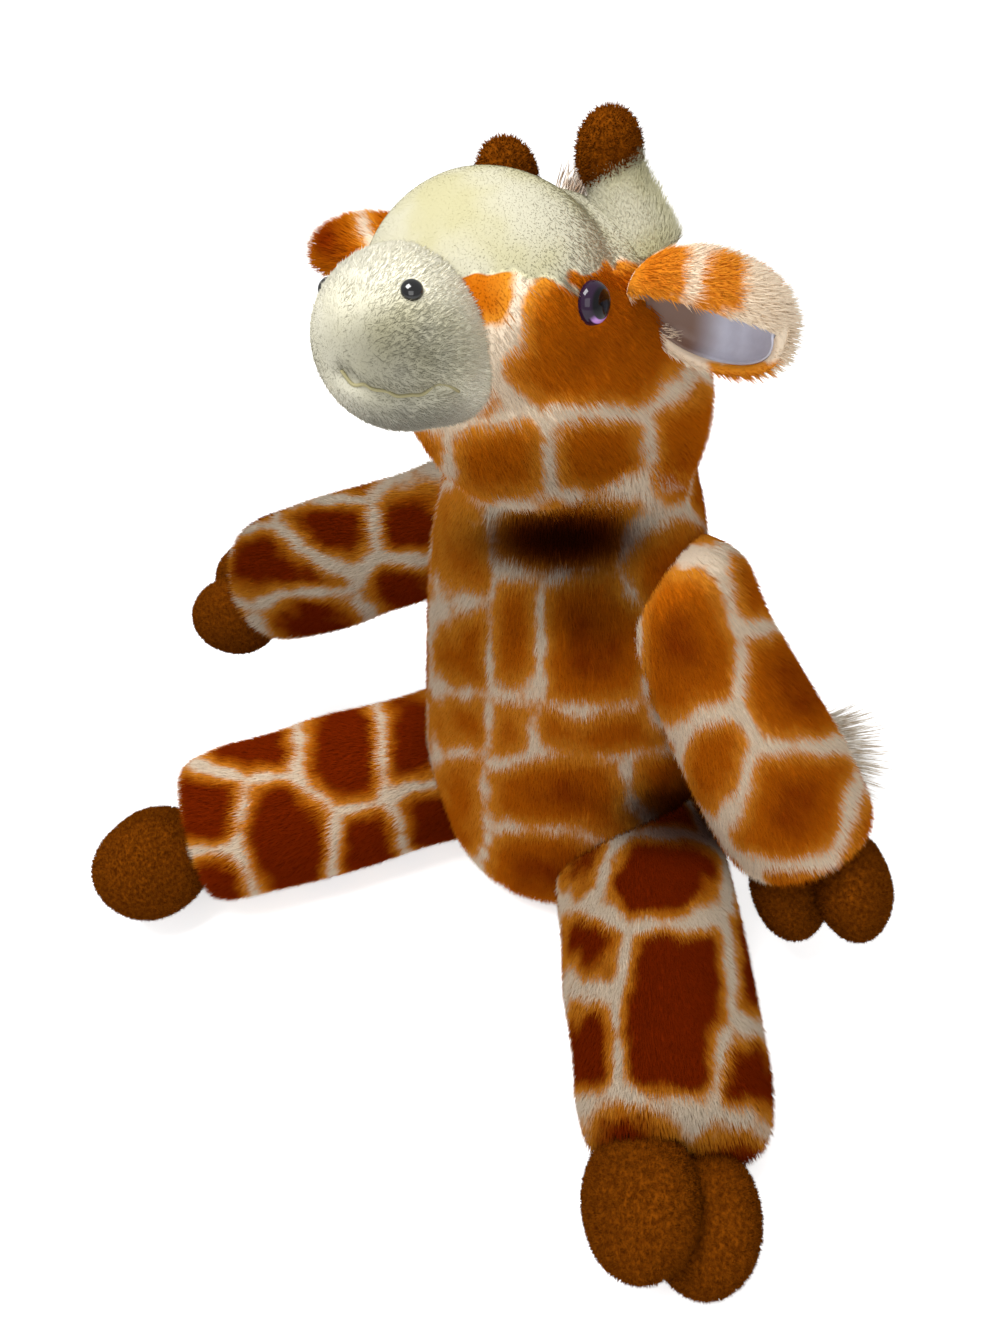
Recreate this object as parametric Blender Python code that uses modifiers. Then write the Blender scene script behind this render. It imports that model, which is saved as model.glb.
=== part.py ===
"""Seated plush giraffe, in metres, +Z up, facing -Y, with its left side towards +X.

The origin is the middle of the flat seat. The toy is sewn plush skins around fibre filling. Each limb starts
in a ball that sits in a round armhole of the torso, and the head sits over the domed end of the neck.
Every form is made twice, once as it is and once drawn in by the cloth, so that skins are hollow and filled.
"""
import math

import bmesh
import bpy
from mathutils import Matrix, Vector

# Cloth, clearances and cutting tools
PLUSH = 0.002
SATIN = 0.0008
GAP = 0.0003
SWING_ROOM = 0.0004
OVERRUN = 0.02
SOFT_SIDES = 16
SOFT_RINGS = 8
HULL_SIDES = 36
SOCKET_SIDES = 24
SOCKET_RINGS = 12
SMALL_SIDES = 12
SMALL_RINGS = 6
CLOSE = 0.00002
WELD = 0.000005

# Torso and neck
NECK_HEIGHT = 0.203
NECK_RADIUS = 0.041
NECK_LEAN = 0.004
NECK_CREASE_ANGLE = math.radians(-17)
NECK_RINGS = 5
BELLY_WIDTH = 0.110
BELLY_DEPTH = 0.100
SEAT_WIDTH = 0.056
SEAT_DEPTH = 0.052
SEAT_HEM = 0.002
# height, half width, half depth and lean, as shares of the neck's height, the belly and the neck's lean
TORSO_SHARES = (
    (0.015, 0.66, 0.66, 0.0), (0.040, 0.77, 0.77, 0.0), (0.080, 0.865, 0.86, 0.0), (0.150, 0.945, 0.94, 0.0),
    (0.235, 0.990, 0.99, 0.0), (0.325, 1.000, 1.00, 0.0), (0.440, 0.970, 0.96, 0.1), (0.565, 0.930, 0.92, 0.3),
    (0.680, 0.900, 0.89, 0.6), (0.780, 0.860, 0.865, 0.8), (0.860, 0.780, 0.825, 0.95))

# Head, in a frame that looks along its own -Y
HEAD_DROP = Vector((0, -0.0175, 0.0285))
HEAD_PITCH = math.radians(-22)
HEAD_ROLL = math.radians(-7)
HEAD_YAW = math.radians(-4)
FACE_WIDTH = 0.080
FACE_DEPTH = 0.084
FACE_HEIGHT = 0.089
BROW_CENTRE = Vector((-0.0015, -0.0215, 0.0120))
BROW_REACH = Vector((0.0365, 0.0325, 0.0330))
FACE_STEP = math.radians(5)
FOREHEAD_CENTRE = Vector((0, -0.026, 0.062))
FOREHEAD_REACH = Vector((0.052, 0.047, 0.046))
MUZZLE_CENTRE = Vector((-0.0015, -0.0520, 0.0010))
MUZZLE_REACH = Vector((0.0245, 0.0215, 0.0225))
MUZZLE_MOUTH_RADIUS = 0.016
MOUTH_DROP = 0.0115
MOUTH_TILT = math.radians(12)
EYE_AZIMUTH = math.radians(57.5)
EYE_ELEVATION = math.radians(20.5)
EYE_RADIUS = 0.0075
EYE_BULGE = 0.0050
EYE_SHANK_RADIUS = 0.0020
EYE_SHANK_LENGTH = 0.0095
WASHER_RADIUS = 0.0070
WASHER_THICKNESS = 0.0012
WASHER_DEPTH = 0.0062
NOSTRIL_AZIMUTH = math.radians(43)
NOSTRIL_ELEVATION = math.radians(27)
NOSTRIL_RADIUS = 0.0030
NOSTRIL_BULGE = 0.0022
NOSTRIL_SHANK_RADIUS = 0.0010
NOSTRIL_SHANK_LENGTH = 0.0050
HORN_BASE = Vector((0.0210, 0.0080, 0.0330))
HORN_LEFT_TIP = Vector((0.0160, 0, 0.0520))
HORN_RIGHT_TIP = Vector((-0.0145, -0.0040, 0.0470))
HORN_BASE_RADIUS = 0.0095
HORN_NECK_RADIUS = 0.0062
HORN_TAPER_SHARE = 0.55
KNOB_REACH = Vector((0.0080, 0.0080, 0.0092))
MANE_HEIGHT = 0.0055
MANE_HALF_WIDTH = 0.0050
MANE_START = 0.0060
MANE_FOOT = -0.0080

# Ears, each a cupped leaf on the side of the head
EAR_ROOT = Vector((0.0370, -0.0020, 0.0165))
EAR_LEFT_TIP = Vector((0.0740, 0, 0.0150))
EAR_RIGHT_TIP = Vector((-0.0790, -0.0090, 0.0205))
EAR_HALF_WIDTH = 0.0200
EAR_HALF_DEPTH = 0.0130
EAR_SINK = 0.0020
EAR_FACING = math.radians(52)
EAR_BACK_SHARE = 0.10
EAR_REACH_BACK = math.radians(-25)
EAR_REACH_FRONT = math.radians(30)
EAR_RIGHT_FLAP = math.radians(10)

# Arms, built hanging against the flank
SHOULDER_SINK = 0.009
SHOULDER_HEIGHT_SHARE = 0.729
SHOULDER_RADIUS = 0.024
ARM_LENGTH = 0.103
ARM_RADIUS = 0.026
ARM_WAY = Vector((0.554, 0.008, -0.832))
ARM_AXIS = Vector((-0.413, -0.865, -0.283))
ARM_RIGHT_LIFT = math.radians(31)
ARM_LOWEST = math.radians(0)
ARM_HIGHEST = math.radians(80)
# along the limb and across it, as shares of its length and radius
ARM_SHARES = ((0.14, 0.86), (0.27, 0.90), (0.42, 0.955), (0.58, 1.0), (0.76, 1.0), (0.90, 0.955), (0.97, 0.83))
ARM_HOOF_STANDOFF = 0.014
ARM_HOOF_REACH = Vector((0.0125, 0.0175, 0.0200))
ARM_HOOF_SPREAD = 0.0112
ARM_LEFT_TWIST = math.radians(40)
ARM_RIGHT_TWIST = math.radians(65)

# Legs, lying forward and spread on the floor
HIP_RADIUS = 0.032
HIP_SINK = 0.009
HIP_FORWARD = 0.014
HIP_LIFT = 0.0015
LEG_LENGTH = 0.112
LEG_RADIUS = 0.034
LEG_SPREAD = math.radians(34)
LEG_LOWEST = math.radians(-15)
LEG_HIGHEST = math.radians(25)
LEG_SHARES = ((0.15, 0.955), (0.32, 1.0), (0.52, 1.0), (0.72, 0.955), (0.90, 0.885), (0.975, 0.76))
LEG_HOOF_STANDOFF = 0.014
LEG_HOOF_DROP = 0.0115
LEG_HOOF_REACH = Vector((0.0145, 0.0205, 0.0215))
LEG_HOOF_SPREAD = 0.0125
FILL_HOLE_SHARE = 0.42

# Tail
TAIL_RADIUS = 0.0042
TAIL_ROOT_HEIGHT = 0.030
TAIL_REACH = Vector((0.058, 0.036, -0.012))
TAIL_BOW = Vector((0.010, 0.020, 0.004))
TAIL_POINTS = 9
TUFT_LENGTH = 0.062
TUFT_RADIUS = 0.0095
TUFT_WAY = Vector((0.80, 0.55, -0.06))
TUFT_SHARES = ((0.0, 0.42), (0.14, 0.62), (0.36, 0.92), (0.60, 1.0), (0.82, 0.72), (0.95, 0.32))
TAIL_SWING = math.radians(30)

# How far the head turns and nods
TURN = math.radians(30)
NOD_DOWN = math.radians(10)
NOD_UP = math.radians(12)

X_AXIS = Vector((1, 0, 0))
Y_AXIS = Vector((0, 1, 0))
Z_AXIS = Vector((0, 0, 1))
SIDES = (("left", 1), ("right", -1))
SHOULDER = Vector((BELLY_WIDTH / 2 - SHOULDER_SINK, NECK_LEAN, NECK_HEIGHT * SHOULDER_HEIGHT_SHARE))
HIP = Vector((BELLY_WIDTH / 2 - HIP_SINK, -HIP_FORWARD, HIP_RADIUS + HIP_LIFT))


def make_collection(name):
    collection = bpy.data.collections.new(name)
    bpy.context.scene.collection.children.link(collection)
    return collection


def make_finish(name, colour, roughness):
    finish = bpy.data.materials.new(name)
    finish.use_nodes = True
    shader = finish.node_tree.nodes["Principled BSDF"]
    shader.inputs["Base Color"].default_value = (*colour, 1)
    shader.inputs["Roughness"].default_value = roughness
    shader.inputs["Metallic"].default_value = 0
    return finish


def set_up_scene():
    """An empty scene with a collection for the toy and one for the cutting forms."""
    for thing in list(bpy.data.objects):
        bpy.data.objects.remove(thing, do_unlink=True)
    return make_collection("plush_giraffe"), make_collection("cutters")


TOY, CUTTERS = set_up_scene()
FINISHES = {
    "spotted_plush": make_finish("spotted_plush", (0.55, 0.20, 0.04), 0.9),
    "cream_velour": make_finish("cream_velour", (0.80, 0.73, 0.50), 0.85),
    "brown_fleece": make_finish("brown_fleece", (0.30, 0.13, 0.02), 0.9),
    "white_satin": make_finish("white_satin", (0.82, 0.82, 0.86), 0.45),
    "black_plastic": make_finish("black_plastic", (0.01, 0.01, 0.012), 0.12),
    "clear_plastic": make_finish("clear_plastic", (0.75, 0.75, 0.72), 0.35),
    "long_hair": make_finish("long_hair", (0.42, 0.27, 0.13), 0.9),
    "fibre_filling": make_finish("fibre_filling", (0.85, 0.85, 0.84), 0.95)}


def place(mesh, name, collection=CUTTERS):
    """A new object for a mesh whose points are in world coordinates."""
    thing = bpy.data.objects.new(name, mesh)
    collection.objects.link(thing)
    return thing


def from_bmesh(shape, name):
    mesh = bpy.data.meshes.new(name)
    shape.to_mesh(mesh)
    shape.free()
    return place(mesh, name)


def discard(*things):
    for thing in things:
        bpy.data.objects.remove(thing, do_unlink=True)


def settle(thing):
    """Turn an object's modifiers and placement into its own mesh points."""
    bpy.context.view_layer.update()
    view = bpy.context.evaluated_depsgraph_get()
    mesh = bpy.data.meshes.new_from_object(thing.evaluated_get(view))
    mesh.transform(thing.matrix_world)
    shape = bmesh.new()
    shape.from_mesh(mesh)
    bmesh.ops.remove_doubles(shape, verts=shape.verts, dist=WELD)
    bmesh.ops.dissolve_degenerate(shape, edges=shape.edges, dist=WELD)
    shape.to_mesh(mesh)
    shape.free()
    thing.modifiers.clear()
    thing.data = mesh
    thing.parent = None
    thing.matrix_world = Matrix.Identity(4)
    return thing


def combine(thing, other, operation):
    """Cut, keep or join one solid with another, and leave both where they are."""
    step = thing.modifiers.new(operation.lower(), 'BOOLEAN')
    step.operation = operation
    step.solver = 'EXACT'
    step.object = other
    return settle(thing)


def cut(thing, *others):
    for other in others:
        combine(thing, other, 'DIFFERENCE')
    return thing


def drop_crumbs(thing):
    """Keep only the largest closed body that a cut has left."""
    shape = bmesh.new()
    shape.from_mesh(thing.data)
    waiting = set(shape.verts)
    bodies = []
    while waiting:
        body = {waiting.pop()}
        edge_of_body = list(body)
        while edge_of_body:
            for edge in edge_of_body.pop().link_edges:
                for vert in edge.verts:
                    if vert in waiting:
                        waiting.remove(vert)
                        body.add(vert)
                        edge_of_body.append(vert)
        bodies.append(body)
    largest = max(bodies, key=len)
    bmesh.ops.delete(shape, geom=[vert for vert in shape.verts if vert not in largest], context='VERTS')
    shape.to_mesh(thing.data)
    shape.free()
    return thing


def keep(thing, other):
    return combine(thing, other, 'INTERSECT')


def join(thing, other):
    return combine(thing, other, 'UNION')


def copy_of(thing, matrix=None):
    mesh = thing.data.copy()
    if matrix:
        mesh.transform(matrix)
    return place(mesh, thing.name)


def frame_at(point, way, across=None):
    """A placement at a point, with its Z along a way and its X as near to across as it can be."""
    up = way.normalized()
    side = (across if across else X_AXIS) - up * (across if across else X_AXIS).dot(up)
    side.normalize()
    turn = Matrix((side, up.cross(side), up)).transposed()
    return Matrix.Translation(point) @ turn.to_4x4()


def turn_about(point, axis, angle):
    """The movement of a joint with this axis through this point."""
    there = Matrix.Translation(point)
    return there @ Matrix.Rotation(angle, 4, axis) @ there.inverted()


def mirrored(vector, side):
    return Vector((vector.x * side, vector.y, vector.z))


def mirrored_axis(axis, side):
    """A turning axis seen in the mirror, so that the same angle moves both sides alike."""
    return Vector((axis.x, axis.y * side, axis.z * side))


def egg(matrix, reach, name="egg", sides=SOFT_SIDES, rings=SOFT_RINGS):
    """A closed egg or ball from a UV sphere, with the given reach along each of its axes."""
    shape = bmesh.new()
    bmesh.ops.create_uvsphere(shape, u_segments=sides, v_segments=rings, radius=1)
    size = Matrix.Diagonal(reach).to_4x4()
    bmesh.ops.transform(shape, matrix=matrix @ size, verts=shape.verts)
    return from_bmesh(shape, name)


def ball(point, radius, name="ball", sides=SOFT_SIDES, rings=SOFT_RINGS):
    return egg(Matrix.Translation(point), Vector((radius, radius, radius)), name, sides, rings)


def socket_radius(radius, sides=SOFT_SIDES, rings=SOFT_RINGS):
    """The radius of a faceted socket whose flats clear a ball of this radius by the fitting gap."""
    return (radius + GAP) / (math.cos(math.pi / sides) * math.cos(math.pi / (2 * rings)))


def root_space(point, radius):
    """The round space that a limb's root is left to turn in."""
    reach = socket_radius(radius - GAP / 2, SOCKET_SIDES, SOCKET_RINGS)
    return ball(point, reach, "root_space", SOCKET_SIDES, SOCKET_RINGS)


def armhole(point, radius):
    """The hollow of the torso around the space of a limb's root."""
    reach = socket_radius(radius - GAP / 2, SOCKET_SIDES, SOCKET_RINGS)
    reach = socket_radius(reach - GAP / 2, SOCKET_SIDES, SOCKET_RINGS)
    return ball(point, reach, "armhole", SOCKET_SIDES, SOCKET_RINGS)


def rod(matrix, radius, low, high, name="rod", sides=SOFT_SIDES):
    """A cylinder along the frame's Z, from low to high."""
    shape = bmesh.new()
    middle = Matrix.Translation(Z_AXIS * (low + high) / 2)
    bmesh.ops.create_cone(shape, cap_ends=True, segments=sides, radius1=radius, radius2=radius,
                          depth=high - low, matrix=matrix @ middle)
    return from_bmesh(shape, name)


def block(matrix, low, high, name="block"):
    """A box between two corners of a frame."""
    shape = bmesh.new()
    bmesh.ops.create_cube(shape, size=1)
    size = Matrix.Diagonal(high - low).to_4x4()
    bmesh.ops.transform(shape, matrix=matrix @ Matrix.Translation((low + high) / 2) @ size, verts=shape.verts)
    return from_bmesh(shape, name)


def drawn_in(outline, inset):
    """An outline of (radius, height) points, bottom to top, moved inwards by the inset."""
    moved = []
    last = len(outline) - 1
    for index, (radius, height) in enumerate(outline):
        before = Vector(outline[max(index - 1, 0)])
        after = Vector(outline[min(index + 1, last)])
        here = Vector((radius, height))
        normals = []
        for start, end in ((before, here), (here, after)):
            run = end - start
            if run.length > CLOSE:
                normals.append(Vector((run.y, -run.x)).normalized())
        normal = sum(normals, Vector((0, 0))).normalized()
        if index in (0, last):
            normal = Vector((0, -1 if index == 0 else 1))
        spread = max(normal.dot(normals[0]), 0.5)
        moved_point = here - normal * (inset / spread)
        moved.append((0 if index in (0, last) else moved_point.x, moved_point.y))
    return moved


def turned(outline, matrix, name="turned", sides=SOFT_SIDES):
    """A solid of revolution about the frame's Z from an outline of (radius, height) points, bottom to top."""
    shape = bmesh.new()
    corners = [shape.verts.new((radius, 0, height)) for radius, height in reversed(outline)]
    for start, end in zip(corners, corners[1:]):
        shape.edges.new((start, end))
    thing = from_bmesh(shape, name)
    screw = thing.modifiers.new("turn", 'SCREW')
    screw.angle = 2 * math.pi
    screw.steps = sides
    screw.render_steps = sides
    screw.use_merge_vertices = True
    screw.merge_threshold = CLOSE
    thing.matrix_world = matrix
    return settle(thing)


def arc_points(radius, start, end, count):
    """Points (radius, height) of a circle about the origin, at angles up from the horizontal."""
    points = []
    for index in range(count + 1):
        angle = start + (end - start) * index / count
        points.append((radius * math.cos(angle), radius * math.sin(angle)))
    return points


def loft(rings, name):
    """A closed skin over rings of equal count, with a point at each end."""
    shape = bmesh.new()
    loops = [[shape.verts.new(point) for point in ring] for ring in rings]
    for lower, upper in zip(loops, loops[1:]):
        for index in range(len(lower)):
            after = (index + 1) % len(lower)
            shape.faces.new((lower[index], lower[after], upper[after], upper[index]))
    for loop, flip in ((loops[0], True), (loops[-1], False)):
        middle = sum((vert.co for vert in loop), Vector()) / len(loop)
        pole = shape.verts.new(middle)
        for index, vert in enumerate(loop):
            after = loop[(index + 1) % len(loop)]
            shape.faces.new((pole, after, vert) if flip else (pole, vert, after))
    return from_bmesh(shape, name)


def neck_centre():
    return Vector((0, NECK_LEAN, NECK_HEIGHT))


def torso_rows():
    """Half width, half depth, height and lean of each ring, from the seat's edge to the neck's dome."""
    rows = [(SEAT_WIDTH / 2, SEAT_DEPTH / 2, 0.0, 0.0)]
    for height, half_width, half_depth, lean in TORSO_SHARES:
        rows.append((half_width * BELLY_WIDTH / 2, half_depth * BELLY_DEPTH / 2, height * NECK_HEIGHT,
                     lean * NECK_LEAN))
    for radius, height in arc_points(NECK_RADIUS, NECK_CREASE_ANGLE, math.pi / 2, NECK_RINGS)[:-1]:
        rows.append((radius, radius, NECK_HEIGHT + height, NECK_LEAN))
    return rows


def torso_form(inset, name="torso_form"):
    """The torso with its neck, seat to dome, drawn in by the inset."""
    rows = torso_rows()
    mean = [((row[0] + row[1]) / 2, row[2]) for row in rows]
    closed = [(0, 0)] + mean + [(0, NECK_HEIGHT + NECK_RADIUS)]
    inner = drawn_in(closed, inset)[1:-1]
    rings = []
    for row, (radius, _), (moved, height) in zip(rows, mean, inner):
        half_width, half_depth, _, lean = row
        change = moved - radius
        ring = []
        for index in range(SOFT_SIDES):
            angle = 2 * math.pi * index / SOFT_SIDES
            ring.append(Vector(((half_width + change) * math.cos(angle),
                                lean + (half_depth + change) * math.sin(angle), height)))
        rings.append(ring)
    return loft(rings, name)


def torso_hull():
    """The torso as it sweeps round when it turns under the head, grown by the fitting gap."""
    corner = 1 / math.cos(math.pi / HULL_SIDES)
    outline = [(0, 0)]
    for half_width, half_depth, height, lean in torso_rows():
        outline.append((max(half_width, half_depth + NECK_LEAN - lean) * corner, height))
    outline.append((0, NECK_HEIGHT + NECK_RADIUS))
    axis = Matrix.Translation(Y_AXIS * NECK_LEAN)
    return turned(drawn_in(outline, -GAP - GAP), axis, "torso_hull", HULL_SIDES)


def head_frame():
    turn = Matrix.Rotation(HEAD_YAW, 4, 'Z') @ Matrix.Rotation(HEAD_ROLL, 4, 'Y')
    return Matrix.Translation(neck_centre() + HEAD_DROP) @ turn @ Matrix.Rotation(HEAD_PITCH, 4, 'X')


def nape_radius():
    """The back of the head is a hollow ball that clears the neck's dome all round."""
    return socket_radius(socket_radius(NECK_RADIUS + GAP)) + PLUSH


def reach_along(way, centre, reach):
    """How far an egg reaches from the origin, which lies inside it, along a unit vector."""
    start = Vector([-middle / size for middle, size in zip(centre, reach)])
    step = Vector([part / size for part, size in zip(way, reach)])
    half = start.dot(step) / step.length_squared
    return -half + math.sqrt(half * half - (start.length_squared - 1) / step.length_squared)


def head_reach(way):
    """How far the face's egg, swollen by the brow's, reaches along a unit vector."""
    face = Vector((FACE_WIDTH / 2, FACE_DEPTH / 2, FACE_HEIGHT / 2))
    return max(reach_along(way, Vector(), face), reach_along(way, BROW_CENTRE, BROW_REACH))


def face_point(azimuth, elevation):
    """A point of the face at angles from its front."""
    way = Vector((math.sin(azimuth) * math.cos(elevation), -math.cos(azimuth) * math.cos(elevation),
                  math.sin(elevation)))
    return way * head_reach(way)


def head_form(inset, name="head_form"):
    """The face, joined with the round back of the head."""
    shape = bmesh.new()
    bmesh.ops.create_uvsphere(shape, u_segments=SOFT_SIDES, v_segments=SOFT_RINGS, radius=1)
    bmesh.ops.triangulate(shape, faces=shape.faces, quad_method='FIXED')
    for vertex in shape.verts:
        way = vertex.co.normalized()
        vertex.co = head_frame() @ (way * (head_reach(way) - inset))
    form = from_bmesh(shape, name)
    nape = ball(neck_centre(), nape_radius() - inset)
    join(form, nape)
    discard(nape)
    return form


def muzzle_form(inset, name="muzzle_form"):
    reach = MUZZLE_REACH - Vector((inset, inset, inset))
    return egg(head_frame() @ Matrix.Translation(MUZZLE_CENTRE), reach, name)


def limb_outline(root_radius, length, radius, shares, inset):
    """A limb's outline: a ball at its root, a swelling shaft and a rounded cuff."""
    start = -math.pi / 2
    root = arc_points(root_radius, start, 0, SOFT_RINGS // 2)
    shaft = [(across * radius, along * length) for along, across in shares]
    return drawn_in(root + shaft + [(0, length)], inset)


def wire(thing):
    """Show a cutting form as a wire and leave it out of pictures."""
    thing.display_type = 'WIRE'
    thing.hide_render = True
    return thing


def finish(thing, name, finish_name, pivot):
    """Name a finished piece, give it its finish, and hang it on its joint."""
    thing.name = name
    thing.data.name = name
    thing.data.materials.clear()
    thing.data.materials.append(FINISHES[finish_name])
    for holder in list(thing.users_collection):
        holder.objects.unlink(thing)
    TOY.objects.link(thing)
    thing.data.transform(pivot.matrix_world.inverted())
    thing.parent = pivot
    thing.matrix_parent_inverse = Matrix.Identity(4)
    thing.matrix_basis = Matrix.Identity(4)
    thing.data.shade_smooth()
    thing.data.set_sharp_from_angle(angle=math.radians(40))
    return thing


def make_pivot(name, point, parent=None):
    """An empty on a joint's axis."""
    pivot = bpy.data.objects.new(name, None)
    TOY.objects.link(pivot)
    if parent:
        pivot.parent = parent
        pivot.location = point - parent.matrix_world.translation
    else:
        pivot.location = point
    bpy.context.view_layer.update()
    return pivot


def swing_cutters(form, point, axis, angles):
    """The form as the moving piece meets it at each angle of its swing."""
    return [copy_of(form, turn_about(point, axis, -angle)) for angle in angles]


def spread(low, high, count):
    return [low + (high - low) * index / (count - 1) for index in range(count)]


def make_torso(pivot):
    skin = torso_form(0)
    inner = torso_form(PLUSH)
    filling = torso_form(PLUSH + GAP)
    cut(skin, inner)
    wad = ball(neck_centre(), socket_radius(NECK_RADIUS - PLUSH))
    cut(filling, wad)
    for _, side in SIDES:
        for point, radius in ((SHOULDER, SHOULDER_RADIUS), (HIP, HIP_RADIUS)):
            socket = armhole(mirrored(point, side), radius)
            cut(skin, socket)
            hollow = ball(mirrored(point, side), socket_radius(radius + PLUSH))
            cut(filling, hollow)
            discard(socket, hollow)
    seat = copy_of(skin)
    hem = egg_rod(SEAT_WIDTH / 2 - SEAT_HEM, SEAT_DEPTH / 2 - SEAT_HEM)
    hem_gap = egg_rod(SEAT_WIDTH / 2 - SEAT_HEM + GAP, SEAT_DEPTH / 2 - SEAT_HEM + GAP)
    keep(seat, hem)
    cut(skin, hem_gap)
    reach = BELLY_WIDTH + OVERRUN
    for name, side in SIDES:
        panel = copy_of(skin)
        near = Vector((GAP / 2, -reach, -OVERRUN))
        far = Vector((reach, reach, NECK_HEIGHT + reach))
        half = block(Matrix.Identity(4), near, far)
        if side < 0:
            half.data.transform(Matrix.Rotation(math.pi, 4, 'Z'))
        keep(panel, half)
        finish(panel, "torso_panel_" + name, "spotted_plush", pivot)
        discard(half)
    finish(seat, "seat_panel", "spotted_plush", pivot)
    finish(filling, "torso_stuffing", "fibre_filling", pivot)
    discard(skin, inner, wad, hem, hem_gap)


def egg_rod(half_width, half_depth):
    """An upright oval cutter through the seat."""
    size = Matrix.Diagonal(Vector((half_width, half_depth, 1))).to_4x4()
    return rod(size, 1, -OVERRUN, OVERRUN / 2)


def neck_wad_radius():
    """The ball of filling turns inside the flats of the neck's dome."""
    flats = math.cos(math.pi / SOFT_SIDES) * math.cos(math.pi / (2 * NECK_RINGS))
    return (NECK_RADIUS - PLUSH) * flats - GAP


def make_neck(pivot):
    wad = ball(neck_centre(), neck_wad_radius())
    finish(wad, "neck_stuffing", "fibre_filling", pivot)


def head_clearance():
    """The torso as the head meets it over its nod, whichever way it is turned."""
    body = torso_hull()
    dome = ball(neck_centre(), socket_radius(NECK_RADIUS + GAP))
    cut(body, dome)
    swept = [copy_of(body, turn_about(neck_centre(), X_AXIS, nod)) for nod in (-NOD_DOWN, 0, NOD_UP)]
    discard(body, dome)
    return swept


def surface_point(centre, reach, azimuth, elevation):
    """A point of an egg and the way out of it, at angles from its front."""
    way = Vector((math.sin(azimuth) * math.cos(elevation), -math.cos(azimuth) * math.cos(elevation),
                  math.sin(elevation)))
    point = centre + Vector((way.x * reach.x, way.y * reach.y, way.z * reach.z))
    normal = Vector((way.x / reach.x, way.y / reach.y, way.z / reach.z)).normalized()
    return point, normal


def eye_frame(side):
    azimuth = EYE_AZIMUTH * side
    point = face_point(azimuth, EYE_ELEVATION)
    across = face_point(azimuth + FACE_STEP, EYE_ELEVATION) - face_point(azimuth - FACE_STEP, EYE_ELEVATION)
    rise = face_point(azimuth, EYE_ELEVATION + FACE_STEP) - face_point(azimuth, EYE_ELEVATION - FACE_STEP)
    normal = across.cross(rise).normalized()
    return head_frame() @ frame_at(point + normal * GAP, normal)


def nostril_frame(side):
    point, normal = surface_point(MUZZLE_CENTRE, MUZZLE_REACH, NOSTRIL_AZIMUTH * side, NOSTRIL_ELEVATION)
    return head_frame() @ frame_at(point + normal * GAP, normal)


def button_outline(radius, bulge, shank_radius, shank_length):
    """A domed button with a shank behind it, from the shank's end to the crown."""
    dome = [(radius * math.cos(angle), bulge * math.sin(angle))
            for angle in spread(math.pi / 12, math.pi / 2, 5)[:-1]]
    return [(0, -shank_length), (shank_radius, -shank_length), (shank_radius, 0), (radius, 0)] + dome + [(0, bulge)]


def make_eye(name, side, pivot, skins, filling):
    """A safety eye: its dome and shank in front of the skin, and its washer behind it."""
    at = eye_frame(side)
    hole = rod(at, EYE_SHANK_RADIUS + GAP, -EYE_SHANK_LENGTH - GAP, OVERRUN, sides=SMALL_SIDES)
    dent = rod(at, EYE_RADIUS + GAP, -GAP, OVERRUN, sides=SMALL_SIDES)
    for skin in skins:
        cut(skin, dent, hole)
    washer_top = -WASHER_DEPTH
    washer_foot = washer_top - WASHER_THICKNESS
    pocket = rod(at, WASHER_RADIUS + GAP, washer_foot - GAP, washer_top + OVERRUN, sides=SMALL_SIDES)
    cut(filling, hole, pocket)
    dome = turned(button_outline(EYE_RADIUS, EYE_BULGE, EYE_SHANK_RADIUS, EYE_SHANK_LENGTH), at, sides=SMALL_SIDES)
    washer = rod(at, WASHER_RADIUS, washer_foot, washer_top, sides=SMALL_SIDES)
    cut(washer, hole)
    finish(dome, "eye_" + name, "black_plastic", pivot)
    finish(washer, "eye_washer_" + name, "clear_plastic", pivot)
    discard(hole, dent, pocket)


def make_nostril(name, side, pivot, skins, filling):
    at = nostril_frame(side)
    hole = rod(at, NOSTRIL_SHANK_RADIUS + GAP, -NOSTRIL_SHANK_LENGTH - GAP, OVERRUN, sides=SMALL_RINGS)
    for skin in skins:
        cut(skin, hole)
    cut(filling, hole)
    outline = button_outline(NOSTRIL_RADIUS, NOSTRIL_BULGE, NOSTRIL_SHANK_RADIUS, NOSTRIL_SHANK_LENGTH)
    bead = turned(outline, at, sides=SMALL_RINGS)
    finish(bead, "nostril_" + name, "black_plastic", pivot)
    discard(hole)


def make_horn(name, side, pivot, head_outer):
    """A stuffed stem on the crown with a fleece knob over its end."""
    frame = head_frame()
    base = frame @ mirrored(HORN_BASE, side)
    tip = frame @ (HORN_LEFT_TIP if side > 0 else HORN_RIGHT_TIP)
    at = frame_at(base, tip - base)
    length = (tip - base).length
    outline = [(0, 0), (HORN_BASE_RADIUS, 0), (HORN_NECK_RADIUS, length * HORN_TAPER_SHARE),
               (HORN_NECK_RADIUS, length), (0, length)]
    stem = turned(outline, at, sides=SMALL_SIDES)
    cut(stem, head_outer)
    grown = turned(drawn_in(outline, -GAP), at, sides=SMALL_SIDES)
    knob = egg(at @ Matrix.Translation(Z_AXIS * length), KNOB_REACH, sides=SMALL_SIDES, rings=SMALL_RINGS)
    cut(knob, grown, head_outer)
    finish(stem, "horn_" + name + "_stem", "cream_velour", pivot)
    finish(knob, "horn_" + name + "_knob", "brown_fleece", pivot)
    discard(grown)


def make_mane(pivot, head_outer):
    """A strip of long hair along the middle of the crown and nape."""
    mane = head_form(-MANE_HEIGHT, "mane")
    reach = FACE_WIDTH + OVERRUN
    strip = block(head_frame(), Vector((-MANE_HALF_WIDTH, MANE_START, MANE_FOOT)),
                  Vector((MANE_HALF_WIDTH, reach, reach)))
    keep(mane, strip)
    cut(mane, head_outer)
    finish(mane, "mane", "long_hair", pivot)
    discard(strip)


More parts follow.
